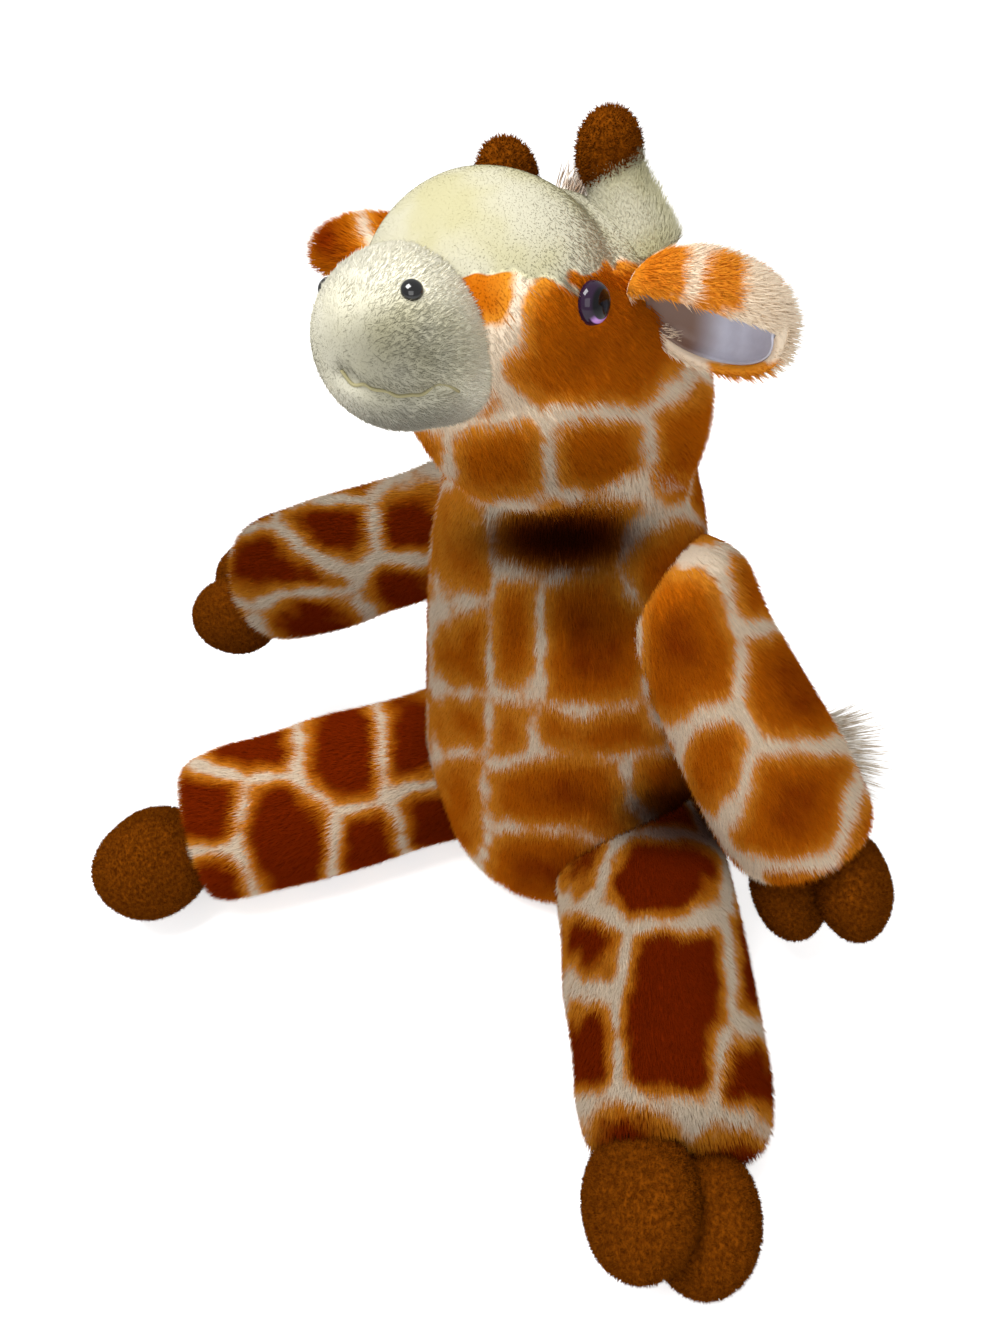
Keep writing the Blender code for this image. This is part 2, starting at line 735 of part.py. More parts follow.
def make_head(pivot):
    skin = head_form(0)
    inner = head_form(PLUSH)
    filling = head_form(PLUSH + GAP)
    cut(skin, inner)
    bowl = ball(neck_centre(), nape_radius() - PLUSH / 2)
    cut(filling, bowl)
    swept = head_clearance()
    drop_crumbs(cut(skin, *swept))
    drop_crumbs(cut(filling, *swept))

    frame = head_frame()
    head_outer = head_form(-GAP)
    make_muzzle(pivot, frame, head_outer, skin, filling)

    brow = frame @ Matrix.Translation(FOREHEAD_CENTRE) @ Matrix.Rotation(math.pi / SOFT_SIDES, 4, 'Z')
    region = egg(brow, FOREHEAD_REACH)
    region_gap = egg(brow, FOREHEAD_REACH + Vector((GAP, GAP, GAP)))
    forehead = copy_of(skin)
    keep(forehead, region)
    cut(skin, region_gap)
    for name, side in SIDES:
        make_eye(name, side, pivot, (skin, forehead), filling)
        make_horn(name, side, pivot, head_outer)
    make_mane(pivot, head_outer)

    reach = FACE_WIDTH + OVERRUN
    for name, side in SIDES:
        panel = copy_of(skin)
        near = Vector((GAP / 2, -reach, -reach))
        far = Vector((reach, reach, reach))
        half = block(frame @ Matrix.Rotation(0 if side > 0 else math.pi, 4, 'Z'), near, far)
        keep(panel, half)
        finish(panel, "head_panel_" + name, "spotted_plush", pivot)
        discard(half)
    finish(forehead, "forehead_panel", "cream_velour", pivot)
    finish(filling, "head_stuffing", "fibre_filling", pivot)
    discard(skin, inner, bowl, region, region_gap, head_outer, *swept)


def make_muzzle(pivot, frame, head_outer, head_skin, head_filling):
    """The round muzzle, in an upper panel and a chin panel that meet along the mouth."""
    skin = muzzle_form(0)
    inner = muzzle_form(PLUSH)
    cut(skin, inner, head_outer)
    filling = muzzle_form(PLUSH + GAP)
    cut(filling, head_outer)
    root = rod(frame @ frame_at(MUZZLE_CENTRE, Y_AXIS), MUZZLE_MOUTH_RADIUS, 0, FACE_DEPTH / 2)
    cut(head_skin, root)
    for name, side in SIDES:
        make_nostril(name, side, pivot, (skin,), filling)
    reach = FACE_WIDTH
    seam = frame @ Matrix.Translation(MUZZLE_CENTRE - Z_AXIS * MOUTH_DROP) @ Matrix.Rotation(MOUTH_TILT, 4, 'X')
    below = block(seam, Vector((-reach, -reach, -reach)), Vector((reach, reach, -GAP / 2)))
    above = block(seam, Vector((-reach, -reach, GAP / 2)), Vector((reach, reach, reach)))
    chin = copy_of(skin)
    keep(chin, below)
    keep(skin, above)
    finish(chin, "chin_panel", "cream_velour", pivot)
    finish(skin, "muzzle_panel", "cream_velour", pivot)
    finish(filling, "muzzle_stuffing", "fibre_filling", pivot)
    discard(inner, root, below, above)


def ear_frame(side):
    """At the ear's root, with Z out to its tip and Y out of the left ear's open side or the right ear's back."""
    frame = head_frame()
    root = mirrored(EAR_ROOT, side)
    way = (EAR_LEFT_TIP if side > 0 else EAR_RIGHT_TIP) - root
    facing = Vector((0, -math.cos(EAR_FACING), -math.sin(EAR_FACING)))
    across = facing.cross(way)
    return frame @ frame_at(root, way, across * side)


def make_ear(name, side, pivot, head_outer):
    """A cupped leaf: a plush back with a satin lining in its hollow."""
    at = ear_frame(side)
    tip = EAR_LEFT_TIP if side > 0 else EAR_RIGHT_TIP
    length = (tip - mirrored(EAR_ROOT, side)).length + EAR_SINK
    middle = at @ Matrix.Translation(Z_AXIS * (length / 2 - EAR_SINK))

    def leaf(inset):
        reach = Vector((EAR_HALF_WIDTH - inset, EAR_HALF_DEPTH - inset, length / 2 - inset))
        return egg(middle, reach, sides=SOFT_SIDES, rings=SMALL_RINGS)

    back = leaf(0)
    hollow = leaf(PLUSH)
    lining = leaf(PLUSH + GAP)
    inside = leaf(PLUSH + GAP + SATIN)
    cut(back, hollow)
    cut(lining, inside)
    reach = tip.length + OVERRUN
    rim = EAR_HALF_DEPTH * EAR_BACK_SHARE
    low, high = (-reach, rim) if side > 0 else (-rim, reach)
    behind = block(at, Vector((-reach, low, -reach)), Vector((reach, high, reach)))
    keep(back, behind)
    keep(lining, behind)
    axis = ear_axis(side)
    flap = EAR_RIGHT_FLAP if side < 0 else 0
    angles = (EAR_REACH_BACK - flap, 0, EAR_REACH_FRONT - flap)
    swept = swing_cutters(head_outer, at.translation, axis, angles)
    drop_crumbs(cut(back, *swept))
    drop_crumbs(cut(lining, *swept))
    finish(back, "ear_" + name + "_back", "spotted_plush", pivot)
    finish(lining, "ear_" + name + "_lining", "white_satin", pivot)
    discard(hollow, inside, behind, *swept)


def ear_axis(side):
    """The line across the ear's root that it flaps about; a positive angle brings its tip to the front."""
    at = ear_frame(side).to_3x3()
    way = at @ Z_AXIS
    facing = head_frame().to_3x3() @ Vector((0, -math.cos(EAR_FACING), -math.sin(EAR_FACING)))
    return way.cross(facing).normalized()


def arm_pose(side):
    """How an arm is turned from hanging at the flank to where it is at rest."""
    lift = ARM_RIGHT_LIFT if side < 0 else 0
    return turn_about(mirrored(SHOULDER, side), mirrored_axis(ARM_AXIS, side), lift)


def limb_pieces(name, outline_of, at, fill_radius, hoof, cutters, pivot):
    """A limb's skin, filling and two hoof lobes, cut clear of the torso over the whole swing."""
    skin = turned(outline_of(0), at)
    inner = turned(outline_of(PLUSH), at)
    filling = turned(outline_of(PLUSH + GAP), at)
    grown = turned(outline_of(-GAP), at)
    cut(skin, inner)
    fill_hole = rod(at, fill_radius, -OVERRUN * 2, 0, sides=SMALL_SIDES)
    cut(skin, fill_hole)
    drop_crumbs(cut(skin, *cutters))
    drop_crumbs(cut(filling, *cutters))
    finish(skin, name + "_skin", "spotted_plush", pivot)
    finish(filling, name + "_stuffing", "fibre_filling", pivot)
    reach, spread_out, hoof_frame, lobe_names = hoof
    for lobe_name, way in zip(lobe_names, (1, -1)):
        lobe = egg(hoof_frame @ Matrix.Translation(X_AXIS * spread_out * way), reach, sides=SMALL_SIDES,
                   rings=SMALL_RINGS)
        extent = reach.length * 2
        near = Vector((GAP / 2, -extent, -extent))
        half_turn = Matrix.Rotation(0 if way > 0 else math.pi, 4, 'Z')
        half = block(hoof_frame @ half_turn, near, Vector((extent, extent, extent)))
        keep(lobe, half)
        cut(lobe, grown)
        finish(lobe, name + "_hoof_" + lobe_name, "brown_fleece", pivot)
        discard(half)
    discard(inner, grown, fill_hole)


def make_arm(name, side, pivot):
    shoulder = mirrored(SHOULDER, side)
    way = mirrored(ARM_WAY, side)
    pose = arm_pose(side)
    at = pose @ frame_at(shoulder, way, Y_AXIS)
    socket = root_space(shoulder, SHOULDER_RADIUS)
    flank = torso_form(-GAP - SWING_ROOM)
    cut(flank, socket)
    lift = ARM_RIGHT_LIFT if side < 0 else 0
    angles = [angle - lift for angle in spread(ARM_LOWEST, ARM_HIGHEST, 5)]
    swept = swing_cutters(flank, shoulder, mirrored_axis(ARM_AXIS, side), angles)

    def outline(inset):
        return limb_outline(SHOULDER_RADIUS, ARM_LENGTH, ARM_RADIUS, ARM_SHARES, inset)

    twist = ARM_RIGHT_TWIST if side < 0 else ARM_LEFT_TWIST
    hoof_out = Matrix.Translation(Z_AXIS * (ARM_LENGTH + ARM_HOOF_STANDOFF))
    hoof_frame = at @ Matrix.Rotation(twist * side, 4, 'Z') @ hoof_out
    hoof = (ARM_HOOF_REACH, ARM_HOOF_SPREAD, hoof_frame, ("rear", "front"))
    limb_pieces("arm_" + name, outline, at, SHOULDER_RADIUS * FILL_HOLE_SHARE, hoof, swept, pivot)
    discard(socket, flank, *swept)


def leg_way(side):
    return Vector((math.sin(LEG_SPREAD) * side, -math.cos(LEG_SPREAD), 0))


def leg_axis(side):
    """Across the thigh, so that a positive angle lifts the leg."""
    return leg_way(side).cross(Z_AXIS).normalized()


def make_leg(name, side, pivot):
    hip = mirrored(HIP, side)
    outward = leg_axis(side) * side
    at = frame_at(hip, leg_way(side), outward)
    socket = root_space(hip, HIP_RADIUS)
    belly = torso_form(-GAP - SWING_ROOM)
    cut(belly, socket)
    swept = swing_cutters(belly, hip, leg_axis(side), (LEG_LOWEST, 0, LEG_HIGHEST / 2, LEG_HIGHEST))
    reach = LEG_LENGTH * 2
    floor = block(Matrix.Identity(4), Vector((-reach, -reach, -OVERRUN)), Vector((reach, reach, 0)))

    def outline(inset):
        return limb_outline(HIP_RADIUS, LEG_LENGTH, LEG_RADIUS, LEG_SHARES, inset)

    down = Matrix.Translation(-Z_AXIS * LEG_HOOF_DROP)
    hoof_frame = down @ at @ Matrix.Translation(Z_AXIS * (LEG_LENGTH + LEG_HOOF_STANDOFF))
    hoof = (LEG_HOOF_REACH, LEG_HOOF_SPREAD, hoof_frame, ("outer", "inner"))
    limb_pieces("leg_" + name, outline, at, HIP_RADIUS * FILL_HOLE_SHARE, hoof, [floor] + swept, pivot)
    discard(socket, belly, floor, *swept)


def tail_root():
    """On the back of the torso, at the tail's height."""
    share = TAIL_ROOT_HEIGHT / NECK_HEIGHT
    below = [row for row in TORSO_SHARES if row[0] <= share][-1]
    above = [row for row in TORSO_SHARES if row[0] > share][0]
    part = (share - below[0]) / (above[0] - below[0])
    half_depth = (below[2] + (above[2] - below[2]) * part) * BELLY_DEPTH / 2
    return Vector((0, half_depth, TAIL_ROOT_HEIGHT))


def tail_path(count):
    """The tail leaves the back square to it and bends to the toy's left."""
    root = tail_root()
    points = []
    for index in range(count):
        share = index / (count - 1)
        bow = 4 * share * (1 - share)
        ease = share * share * (3 - 2 * share)
        points.append(root + Vector((TAIL_REACH.x * ease, TAIL_REACH.y * math.sqrt(share), TAIL_REACH.z * share))
                      + TAIL_BOW * bow * share)
    return points


def make_tail(pivot):
    path = tail_path(TAIL_POINTS)
    curve = bpy.data.curves.new("tail_cord", 'CURVE')
    curve.dimensions = '3D'
    curve.bevel_depth = TAIL_RADIUS
    curve.bevel_resolution = 2
    curve.use_fill_caps = True
    spline = curve.splines.new('POLY')
    start = path[0] - Y_AXIS * TAIL_RADIUS
    points = [start] + path
    spline.points.add(len(points) - 1)
    for point, place_at in zip(spline.points, points):
        point.co = (*place_at, 1)
    guide = bpy.data.objects.new("tail_cord", curve)
    CUTTERS.objects.link(guide)
    bpy.context.view_layer.update()
    view = bpy.context.evaluated_depsgraph_get()
    mesh = bpy.data.meshes.new_from_object(guide.evaluated_get(view))
    bpy.data.objects.remove(guide, do_unlink=True)
    shape = bmesh.new()
    shape.from_mesh(mesh)
    bmesh.ops.remove_doubles(shape, verts=shape.verts, dist=CLOSE)
    cord = from_bmesh(shape, "tail_cord")
    back = torso_form(-GAP)
    swept = swing_cutters(back, tail_root(), Z_AXIS, (-TAIL_SWING, 0, TAIL_SWING))
    cut(cord, *swept)

    at = frame_at(path[-1] - TUFT_WAY.normalized() * TAIL_RADIUS, TUFT_WAY)
    outline = [(0, 0)] + [(across * TUFT_RADIUS, along * TUFT_LENGTH) for along, across in TUFT_SHARES]
    tuft = turned(outline + [(0, TUFT_LENGTH)], at, sides=SMALL_SIDES)
    cut(cord, tuft_clear(at, outline))
    finish(cord, "tail_cord", "spotted_plush", pivot)
    finish(tuft, "tail_tuft", "long_hair", pivot)
    discard(back, *swept)


def tuft_clear(at, outline):
    """The tuft's form grown by the fitting gap, to trim the end of the cord."""
    return wire(turned(drawn_in(outline + [(0, TUFT_LENGTH)], -GAP), at, sides=SMALL_SIDES))


def build():
    body = make_pivot("torso", Vector())
    neck = make_pivot("neck_turn", neck_centre(), body)
    head = make_pivot("head_nod", neck_centre(), neck)
    make_torso(body)
    make_neck(neck)
    make_head(head)
    head_outer = head_form(-GAP)
    for name, side in SIDES:
        make_ear(name, side, make_pivot("ear_flap_" + name, ear_frame(side).translation, head), head_outer)
        make_arm(name, side, make_pivot("arm_swing_" + name, mirrored(SHOULDER, side), body))
        make_leg(name, side, make_pivot("leg_swing_" + name, mirrored(HIP, side), body))
    make_tail(make_pivot("tail_swing", tail_root(), body))
    for thing in CUTTERS.objects:
        wire(thing)


build()
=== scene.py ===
# %% [markdown]
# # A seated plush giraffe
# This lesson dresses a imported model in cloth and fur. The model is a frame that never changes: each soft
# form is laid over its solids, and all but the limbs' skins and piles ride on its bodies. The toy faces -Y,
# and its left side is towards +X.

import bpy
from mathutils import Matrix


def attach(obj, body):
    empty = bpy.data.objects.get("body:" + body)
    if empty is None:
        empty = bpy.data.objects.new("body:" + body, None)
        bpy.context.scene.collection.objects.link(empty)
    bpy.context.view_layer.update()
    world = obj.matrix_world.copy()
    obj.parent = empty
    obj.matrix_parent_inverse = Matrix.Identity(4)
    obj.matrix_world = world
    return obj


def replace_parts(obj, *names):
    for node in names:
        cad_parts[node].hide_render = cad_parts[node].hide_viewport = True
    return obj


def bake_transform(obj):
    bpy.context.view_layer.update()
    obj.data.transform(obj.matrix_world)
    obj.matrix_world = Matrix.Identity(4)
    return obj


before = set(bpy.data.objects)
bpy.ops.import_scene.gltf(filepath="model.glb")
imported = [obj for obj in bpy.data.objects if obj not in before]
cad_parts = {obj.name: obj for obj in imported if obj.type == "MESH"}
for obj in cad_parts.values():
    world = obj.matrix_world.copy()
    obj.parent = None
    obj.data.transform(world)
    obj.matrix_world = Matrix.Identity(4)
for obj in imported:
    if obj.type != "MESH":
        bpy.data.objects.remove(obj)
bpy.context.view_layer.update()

# %% [markdown]
# ## Modules and units
# A coat has hundreds of thousands of points. They are bent as numpy arrays, which is far quicker than
# moving them one by one, and Blender's own modules give the matrices, the noise and the search for a
# nearest place.

# %% Modules and units
import math

import bmesh
import bpy
import numpy as np
from mathutils import Matrix, Vector, noise
from mathutils.bvhtree import BVHTree

MM = 0.001
print("Blender", bpy.app.version_string)

# %% [markdown]
# ## The camera
# The photograph was taken from the toy's front left and from above. A camera could be turned by three
# angles. Here it is placed by the direction that it looks from, its distance and the point that it looks
# at. That point isn't in the middle of the picture, so the camera is then turned by the angle that brings
# it to its pixel.

# %% The camera
PHOTO_WIDTH, PHOTO_HEIGHT = 1000, 1333
FOCAL_PIXELS, SENSOR = 1000, 36
AIM = Vector((0, 0, 100 * MM))
AIM_PIXEL = (562, 668)
AZIMUTH, ELEVATION, DISTANCE = math.radians(34), math.radians(42), 382 * MM


def aim_camera():
    back = Vector((math.sin(AZIMUTH) * math.cos(ELEVATION), -math.cos(AZIMUTH) * math.cos(ELEVATION),
                   math.sin(ELEVATION)))
    side = Vector((0, 0, 1)).cross(back).normalized()
    straight = Matrix((side, back.cross(side), back)).transposed()
    wanted = Vector((AIM_PIXEL[0] - PHOTO_WIDTH / 2, PHOTO_HEIGHT / 2 - AIM_PIXEL[1], -FOCAL_PIXELS))
    turn = wanted.normalized().rotation_difference(Vector((0, 0, -1))).to_matrix()
    lens = bpy.data.cameras.new("photo_camera")
    lens.sensor_width = SENSOR
    lens.lens = SENSOR * FOCAL_PIXELS / PHOTO_HEIGHT
    lens.clip_start = 10 * MM
    camera = bpy.data.objects.new("photo_camera", lens)
    camera.matrix_world = Matrix.Translation(AIM + back * DISTANCE) @ (straight @ turn).to_4x4()
    bpy.context.scene.collection.objects.link(camera)
    bpy.context.scene.camera = camera
    return camera


camera = aim_camera()
bpy.context.view_layer.update()
print("camera at", [round(c, 4) for c in camera.matrix_world.translation])

# %% [markdown]
# ## The sizes of the toy
# Shoulders, hips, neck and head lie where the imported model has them, so each soft form covers its solid.
# They could be measured from the solids' boxes, but a joint's centre isn't the middle of a box, so they
# are repeated here as plain sizes.

# %% Sizes and places
SIDES = (("left", 1), ("right", -1))


def unit(vector):
    return np.asarray(vector, float) / np.linalg.norm(vector)


NECK = np.array((0, 4, 203)) * MM
SHOULDER = np.array((46, 4, 148)) * MM
HIP = np.array((46, -14, 33.5)) * MM
ARM_WAY = unit((0.554, 0.008, -0.832))
ARM_AXIS = unit((-0.413, -0.865, -0.283))
ARM_RIGHT_LIFT = math.radians(31)
LEG_SPREAD, LEG_LEFT_MORE = math.radians(34), math.radians(3.5)
HEAD = (Matrix.Translation(Vector((0, -13.5 * MM, 231.5 * MM))) @ Matrix.Rotation(math.radians(-4), 4, 'Z')
        @ Matrix.Rotation(math.radians(-7), 4, 'Y') @ Matrix.Rotation(math.radians(-22), 4, 'X'))
print("head at", [round(c, 4) for c in HEAD.translation])

# %% [markdown]
# ## Which way the limbs point
# The left arm hangs and the right one is lifted, and the left leg is spread a little more. A mirrored
# left limb turned about its joint's axis gives the right one, just as the real limbs are one pattern sewn
# twice.

# %% Limb directions


def mirrored(vector, side):
    return np.array((vector[0] * side, vector[1], vector[2]))


def turned_about(vector, axis, angle):
    return np.array(Matrix.Rotation(angle, 3, Vector(axis)) @ Vector(vector))


def arm_way(side):
    if side > 0:
        return ARM_WAY
    return mirrored(turned_about(ARM_WAY, ARM_AXIS, ARM_RIGHT_LIFT), -1)


def arm_across(side):
    """Across the arm, towards the toy's back."""
    if side > 0:
        return np.array((0, 1, 0))
    return mirrored(turned_about((0, 1, 0), ARM_AXIS, ARM_RIGHT_LIFT), -1)


def leg_way(side):
    spread = LEG_SPREAD + (LEG_LEFT_MORE if side > 0 else 0)
    return np.array((math.sin(spread) * side, -math.cos(spread), 0))


print("arms point", [np.round(arm_way(side), 2).tolist() for _, side in SIDES])

# %% [markdown]
# ## Rows of sizes
# A stuffed form is drawn by a few rows: how far along, then how wide. Straight steps between the rows
# would show as rings on the toy, so a smooth curve is passed through them and read at even steps.

# %% Smooth rows


def smooth_rows(rows, count):
    """Rows of numbers, passed through smoothly and read at even steps of the first one, which rises."""
    rows = np.array(rows, float)
    along = rows[:, 0]
    slopes = np.gradient(rows[:, 1:], along, axis=0)
    new = np.linspace(along[0], along[-1], count)
    at = np.clip(np.searchsorted(along, new, side="right") - 1, 0, len(along) - 2)
    gap = (along[at + 1] - along[at])[:, None]
    t = ((new - along[at]) / gap[:, 0])[:, None]
    a, b = rows[at, 1:], rows[at + 1, 1:]
    value = ((2 * t**3 - 3 * t**2 + 1) * a + (t**3 - 2 * t**2 + t) * gap * slopes[at]
             + (3 * t**2 - 2 * t**3) * b + (t**3 - t**2) * gap * slopes[at + 1])
    return np.column_stack([new, value])


print("between two rows:", smooth_rows(((0, 0), (10, 4)), 3).tolist())

# %% [markdown]
# ## A skin over rings
# Rings with equal numbers of points are joined into a closed skin. A Screw modifier would do for a round
# form, but the torso is an oval that leans and the ears are cups, so the rings are joined by hand.

# %% Skins over rings


def mesh_object(name, points, faces):
    mesh = bpy.data.meshes.new(name)
    mesh.from_pydata([tuple(p) for p in points], [], faces)
    mesh.validate()
    mesh.shade_smooth()
    thing = bpy.data.objects.new(name, mesh)
    bpy.context.scene.collection.objects.link(thing)
    return thing


def loft(name, rings):
    """A closed skin over rings that have equal numbers of points, with a point in the middle of each end."""
    rings = np.asarray(rings)
    count, around = rings.shape[:2]
    points = [*rings.reshape(-1, 3), rings[0].mean(0), rings[-1].mean(0)]
    faces = []
    for row in range(count - 1):
        for column in range(around):
            after = (column + 1) % around
            low, high = row * around, (row + 1) * around
            faces.append((low + column, low + after, high + after, high + column))
    start, end = count * around, count * around + 1
    top = (count - 1) * around
    for column in range(around):
        after = (column + 1) % around
        faces.append((start, after, column))
        faces.append((end, top + column, top + after))
    return mesh_object(name, points, faces)


# %% [markdown]
# ## The torso
# The body is a bag sewn from two panels and filled until it is firm. It is widest at the belly and
# narrows to a thick neck whose domed end goes up inside the head. Each row gives height, half width, half
# depth and lean.

# %% Torso form
TORSO_ROWS = (
    (0.0, 28, 26, 0), (0.6, 34, 32, 0), (3, 37.5, 35, 0), (8, 42.5, 39, 0), (16, 47.6, 43, 0),
    (30, 52.0, 47, 0), (48, 54.5, 49.5, 0), (66, 55.0, 50, 0), (89, 53.4, 48, 0.4), (115, 51.2, 46, 1.2),
    (138, 49.5, 44.5, 2.4), (158, 47.3, 43.2, 3.2), (175, 43.5, 41.2, 3.8), (191, 39.2, 39.2, 4.0),
    (203, 41, 41, 4.0), (217, 38.5, 38.5, 4), (229, 31.7, 31.7, 4), (238, 21.1, 21.1, 4), (243, 9, 9, 4))
TORSO_AROUND, TORSO_RINGS = 168, 130


def torso_form():
    rows = smooth_rows(TORSO_ROWS, TORSO_RINGS) * MM
    angle = np.linspace(0, 2 * math.pi, TORSO_AROUND, endpoint=False)
    level = np.ones(TORSO_AROUND)
    rings = [np.column_stack([wide * np.cos(angle), lean + deep * np.sin(angle), height * level])
             for height, wide, deep, lean in rows]
    return loft("torso", rings)


torso = torso_form()
print("torso:", len(torso.data.polygons), "faces")

# %% [markdown]
# ## Points as arrays
# All points of a mesh are read into one array, changed and written back. What would sink into the ground
# is pressed flat on it, as a filled leg is by its own weight.

# %% Points of a piece
GROUND = 0.6 * MM


def points_of(thing):
    out = np.empty(len(thing.data.vertices) * 3)
    thing.data.vertices.foreach_get("co", out)
    return out.reshape(-1, 3)


def normals_of(thing):
    out = np.empty(len(thing.data.vertices) * 3)
    thing.data.vertices.foreach_get("normal", out)
    return out.reshape(-1, 3)


def move_points(thing, points):
    thing.data.vertices.foreach_set("co", np.asarray(points, float).ravel())
    thing.data.update()


def lay_flat(thing):
    """Press what would sink into the ground flat on it."""
    place = points_of(thing)
    place[:, 2] = np.maximum(place[:, 2], GROUND)
    move_points(thing, place)


print("torso's points span", np.round(np.ptp(points_of(torso), axis=0) / MM, 1).tolist(), "mm")

# %% [markdown]
# ## The limbs
# Each limb is a tube that starts as a ball in its armhole, swells with its filling and ends in a rounded
# cuff. Rings along a straight line make it. The right arm was filled a little fuller, so it is drawn
# slightly longer.

# %% Limb forms
ARM_ROWS = ((-24, 0.5), (-23.2, 6), (-20, 13.2), (-14, 19.5), (-7, 22.9), (0, 23.2), (14, 22.4), (30, 23.4),
            (46, 24.6), (62, 25.6), (78, 25.6), (90, 24.8), (97, 22.6), (100.4, 18.5), (101.5, 14))
LEG_ROWS = ((-32, 0.5), (-31, 8), (-27, 17), (-20, 25), (-10, 30.4), (0, 31.4), (17, 31.2), (36, 31.8),
            (58, 31.6), (81, 30.6), (99, 29.6), (107, 27.6), (111, 24), (112.6, 19))
ARM_AROUND, ARM_RINGS = 88, 76
LEG_AROUND, LEG_RINGS = 112, 84
ARM_STRETCH = {"left": 1.0, "right": 1.07}


def axes_at(way, across):
    """Three unit vectors: across, its neighbour, and the way itself."""
    up = unit(way)
    side = np.asarray(across, float) - up * np.dot(across, up)
    side = unit(side)
    return side, np.cross(up, side), up


def circle(side, up, around):
    """Points round a circle of radius 1, from two directions that span it."""
    angle = np.linspace(0, 2 * math.pi, around, endpoint=False)
    return np.outer(np.cos(angle), side) + np.outer(np.sin(angle), up)


def limb_form(name, start, way, across, rows, around, rings):
    """A round skin along a way; each row gives how far along it is and how thick, in millimetres."""
    side, up, along = axes_at(way, across)
    ring = circle(side, up, around)
    sampled = smooth_rows(rows, rings) * MM
    return loft(name, [start + along * t + ring * max(r, 0.3 * MM) for t, r in sampled])


limbs = {}
for name, side in SIDES:
    rows = [(t * ARM_STRETCH[name] if t > 0 else t, r) for t, r in ARM_ROWS]
    limbs["arm_" + name] = limb_form("arm_" + name, mirrored(SHOULDER, side), arm_way(side), arm_across(side),
                                     rows, ARM_AROUND, ARM_RINGS)
    limbs["leg_" + name] = limb_form("leg_" + name, mirrored(HIP, side), leg_way(side), (0, 0, 1),
                                     LEG_ROWS, LEG_AROUND, LEG_RINGS)
    lay_flat(limbs["leg_" + name])
print("limbs:", {name: len(thing.data.polygons) for name, thing in limbs.items()})

# %% [markdown]
# ## Eggs melted together
# Cloth drawn over two lumps of filling bridges the hollow between them. Metaballs could do it, but their
# surface is hard to size. Here eggs are joined, remeshed in small cubes, which merges them, and smoothed.

# %% Melting
EGG_SIDES, EGG_RINGS = 48, 32


def made_plain(thing):
    """Turn the modifiers' result into the object's own mesh."""
    bpy.context.view_layer.update()
    view = bpy.context.evaluated_depsgraph_get()
    mesh = bpy.data.meshes.new_from_object(thing.evaluated_get(view))
    thing.modifiers.clear()
    thing.data = mesh
    mesh.shade_smooth()
    return thing


def melted(name, eggs, voxel, rounds):
    """Eggs melted into one stuffed form: joined, remeshed in small cubes and smoothed."""
    shape = bmesh.new()
    for matrix, reach in eggs:
        bmesh.ops.create_uvsphere(shape, u_segments=EGG_SIDES, v_segments=EGG_RINGS, radius=1,
                                  matrix=matrix @ Matrix.Diagonal(reach).to_4x4())
    mesh = bpy.data.meshes.new(name)
    shape.to_mesh(mesh)
    shape.free()
    thing = bpy.data.objects.new(name, mesh)
    bpy.context.scene.collection.objects.link(thing)
    remesh = thing.modifiers.new("melt", 'REMESH')
    remesh.mode = 'VOXEL'
    remesh.voxel_size = voxel
    ease = thing.modifiers.new("ease", 'SMOOTH')
    ease.factor = 0.5
    ease.iterations = rounds
    return made_plain(thing)


# %% [markdown]
# ## The head and the muzzle
# The face is an egg and the nape a ball round the neck's dome. Melting them gives the soft cheek that one
# panel of cloth pulls between them. The muzzle is its own small bag, sewn on in front.

# %% Head and muzzle forms


def in_head(x, y, z):
    return HEAD @ Matrix.Translation(Vector((x, y, z)) * MM)


def head_form():
    eggs = [(in_head(0, 0, 0), Vector((38.5, 40.5, 43)) * MM),
            (in_head(-1.5, -21.5, 12), Vector((36, 32, 32.5)) * MM),
            (Matrix.Translation(Vector(NECK) + Vector((0, 1, 5)) * MM), Vector((42, 42, 42)) * MM)]
    return melted("head", eggs, voxel=1.8 * MM, rounds=14)


def muzzle_form():
    eggs = [(in_head(-1.5, -52, 1), Vector((23.6, 20.8, 21.8)) * MM),
            (in_head(-1.5, -42, 0), Vector((22, 20, 20)) * MM)]
    return melted("muzzle", eggs, voxel=1.2 * MM, rounds=8)


head = head_form()
muzzle = muzzle_form()
print("head:", len(head.data.polygons), "muzzle:", len(muzzle.data.polygons))

# %% [markdown]
# ## The hooves
# Each hoof is two filled lobes side by side, so it is two melted eggs. No two of the four hang alike:
# each pair is rolled about its limb by its own angle, in degrees, and set off from it by its own small
# shift.

# %% Hoof sizes
HOOF_ROLLS = {"arm_right": -20, "leg_left": -36, "leg_right": 40}
LEFT_ARM_LOBES = np.array((1.01, 0.29, 0.24))
HOOF_HANGS = {"left": (0.35, 0.05, -1.2), "right": (0, 0, -0.3)}
HOOF_DROPS = {"left": 20 * MM, "right": 15 * MM}
HOOF_SHIFTS = {"left": np.array((-3.8, -2.6, 0)) * MM, "right": np.array((-3.6, -4.4, 0)) * MM}
ARM_TO_HOOF, LEG_TO_HOOF, LEG_HOOF_DROP = 103, 127, 10
ARM_LOBE, ARM_LOBES_APART = np.array((12.8, 17.5, 22)) * MM, 11.6 * MM
LEG_LOBE, LEG_LOBES_APART = np.array((14.8, 20.5, 22.0)) * MM, 12.5 * MM
print("hooves hang", {name: round(drop / MM, 1) for name, drop in HOOF_DROPS.items()}, "mm from the cuffs")

# %% [markdown]
# ## Making the four hooves
# An arm's hoof hangs from the cuff under its own weight. A leg's hoof lies on the ground, pressed flat
# there.

# %% Hoof forms


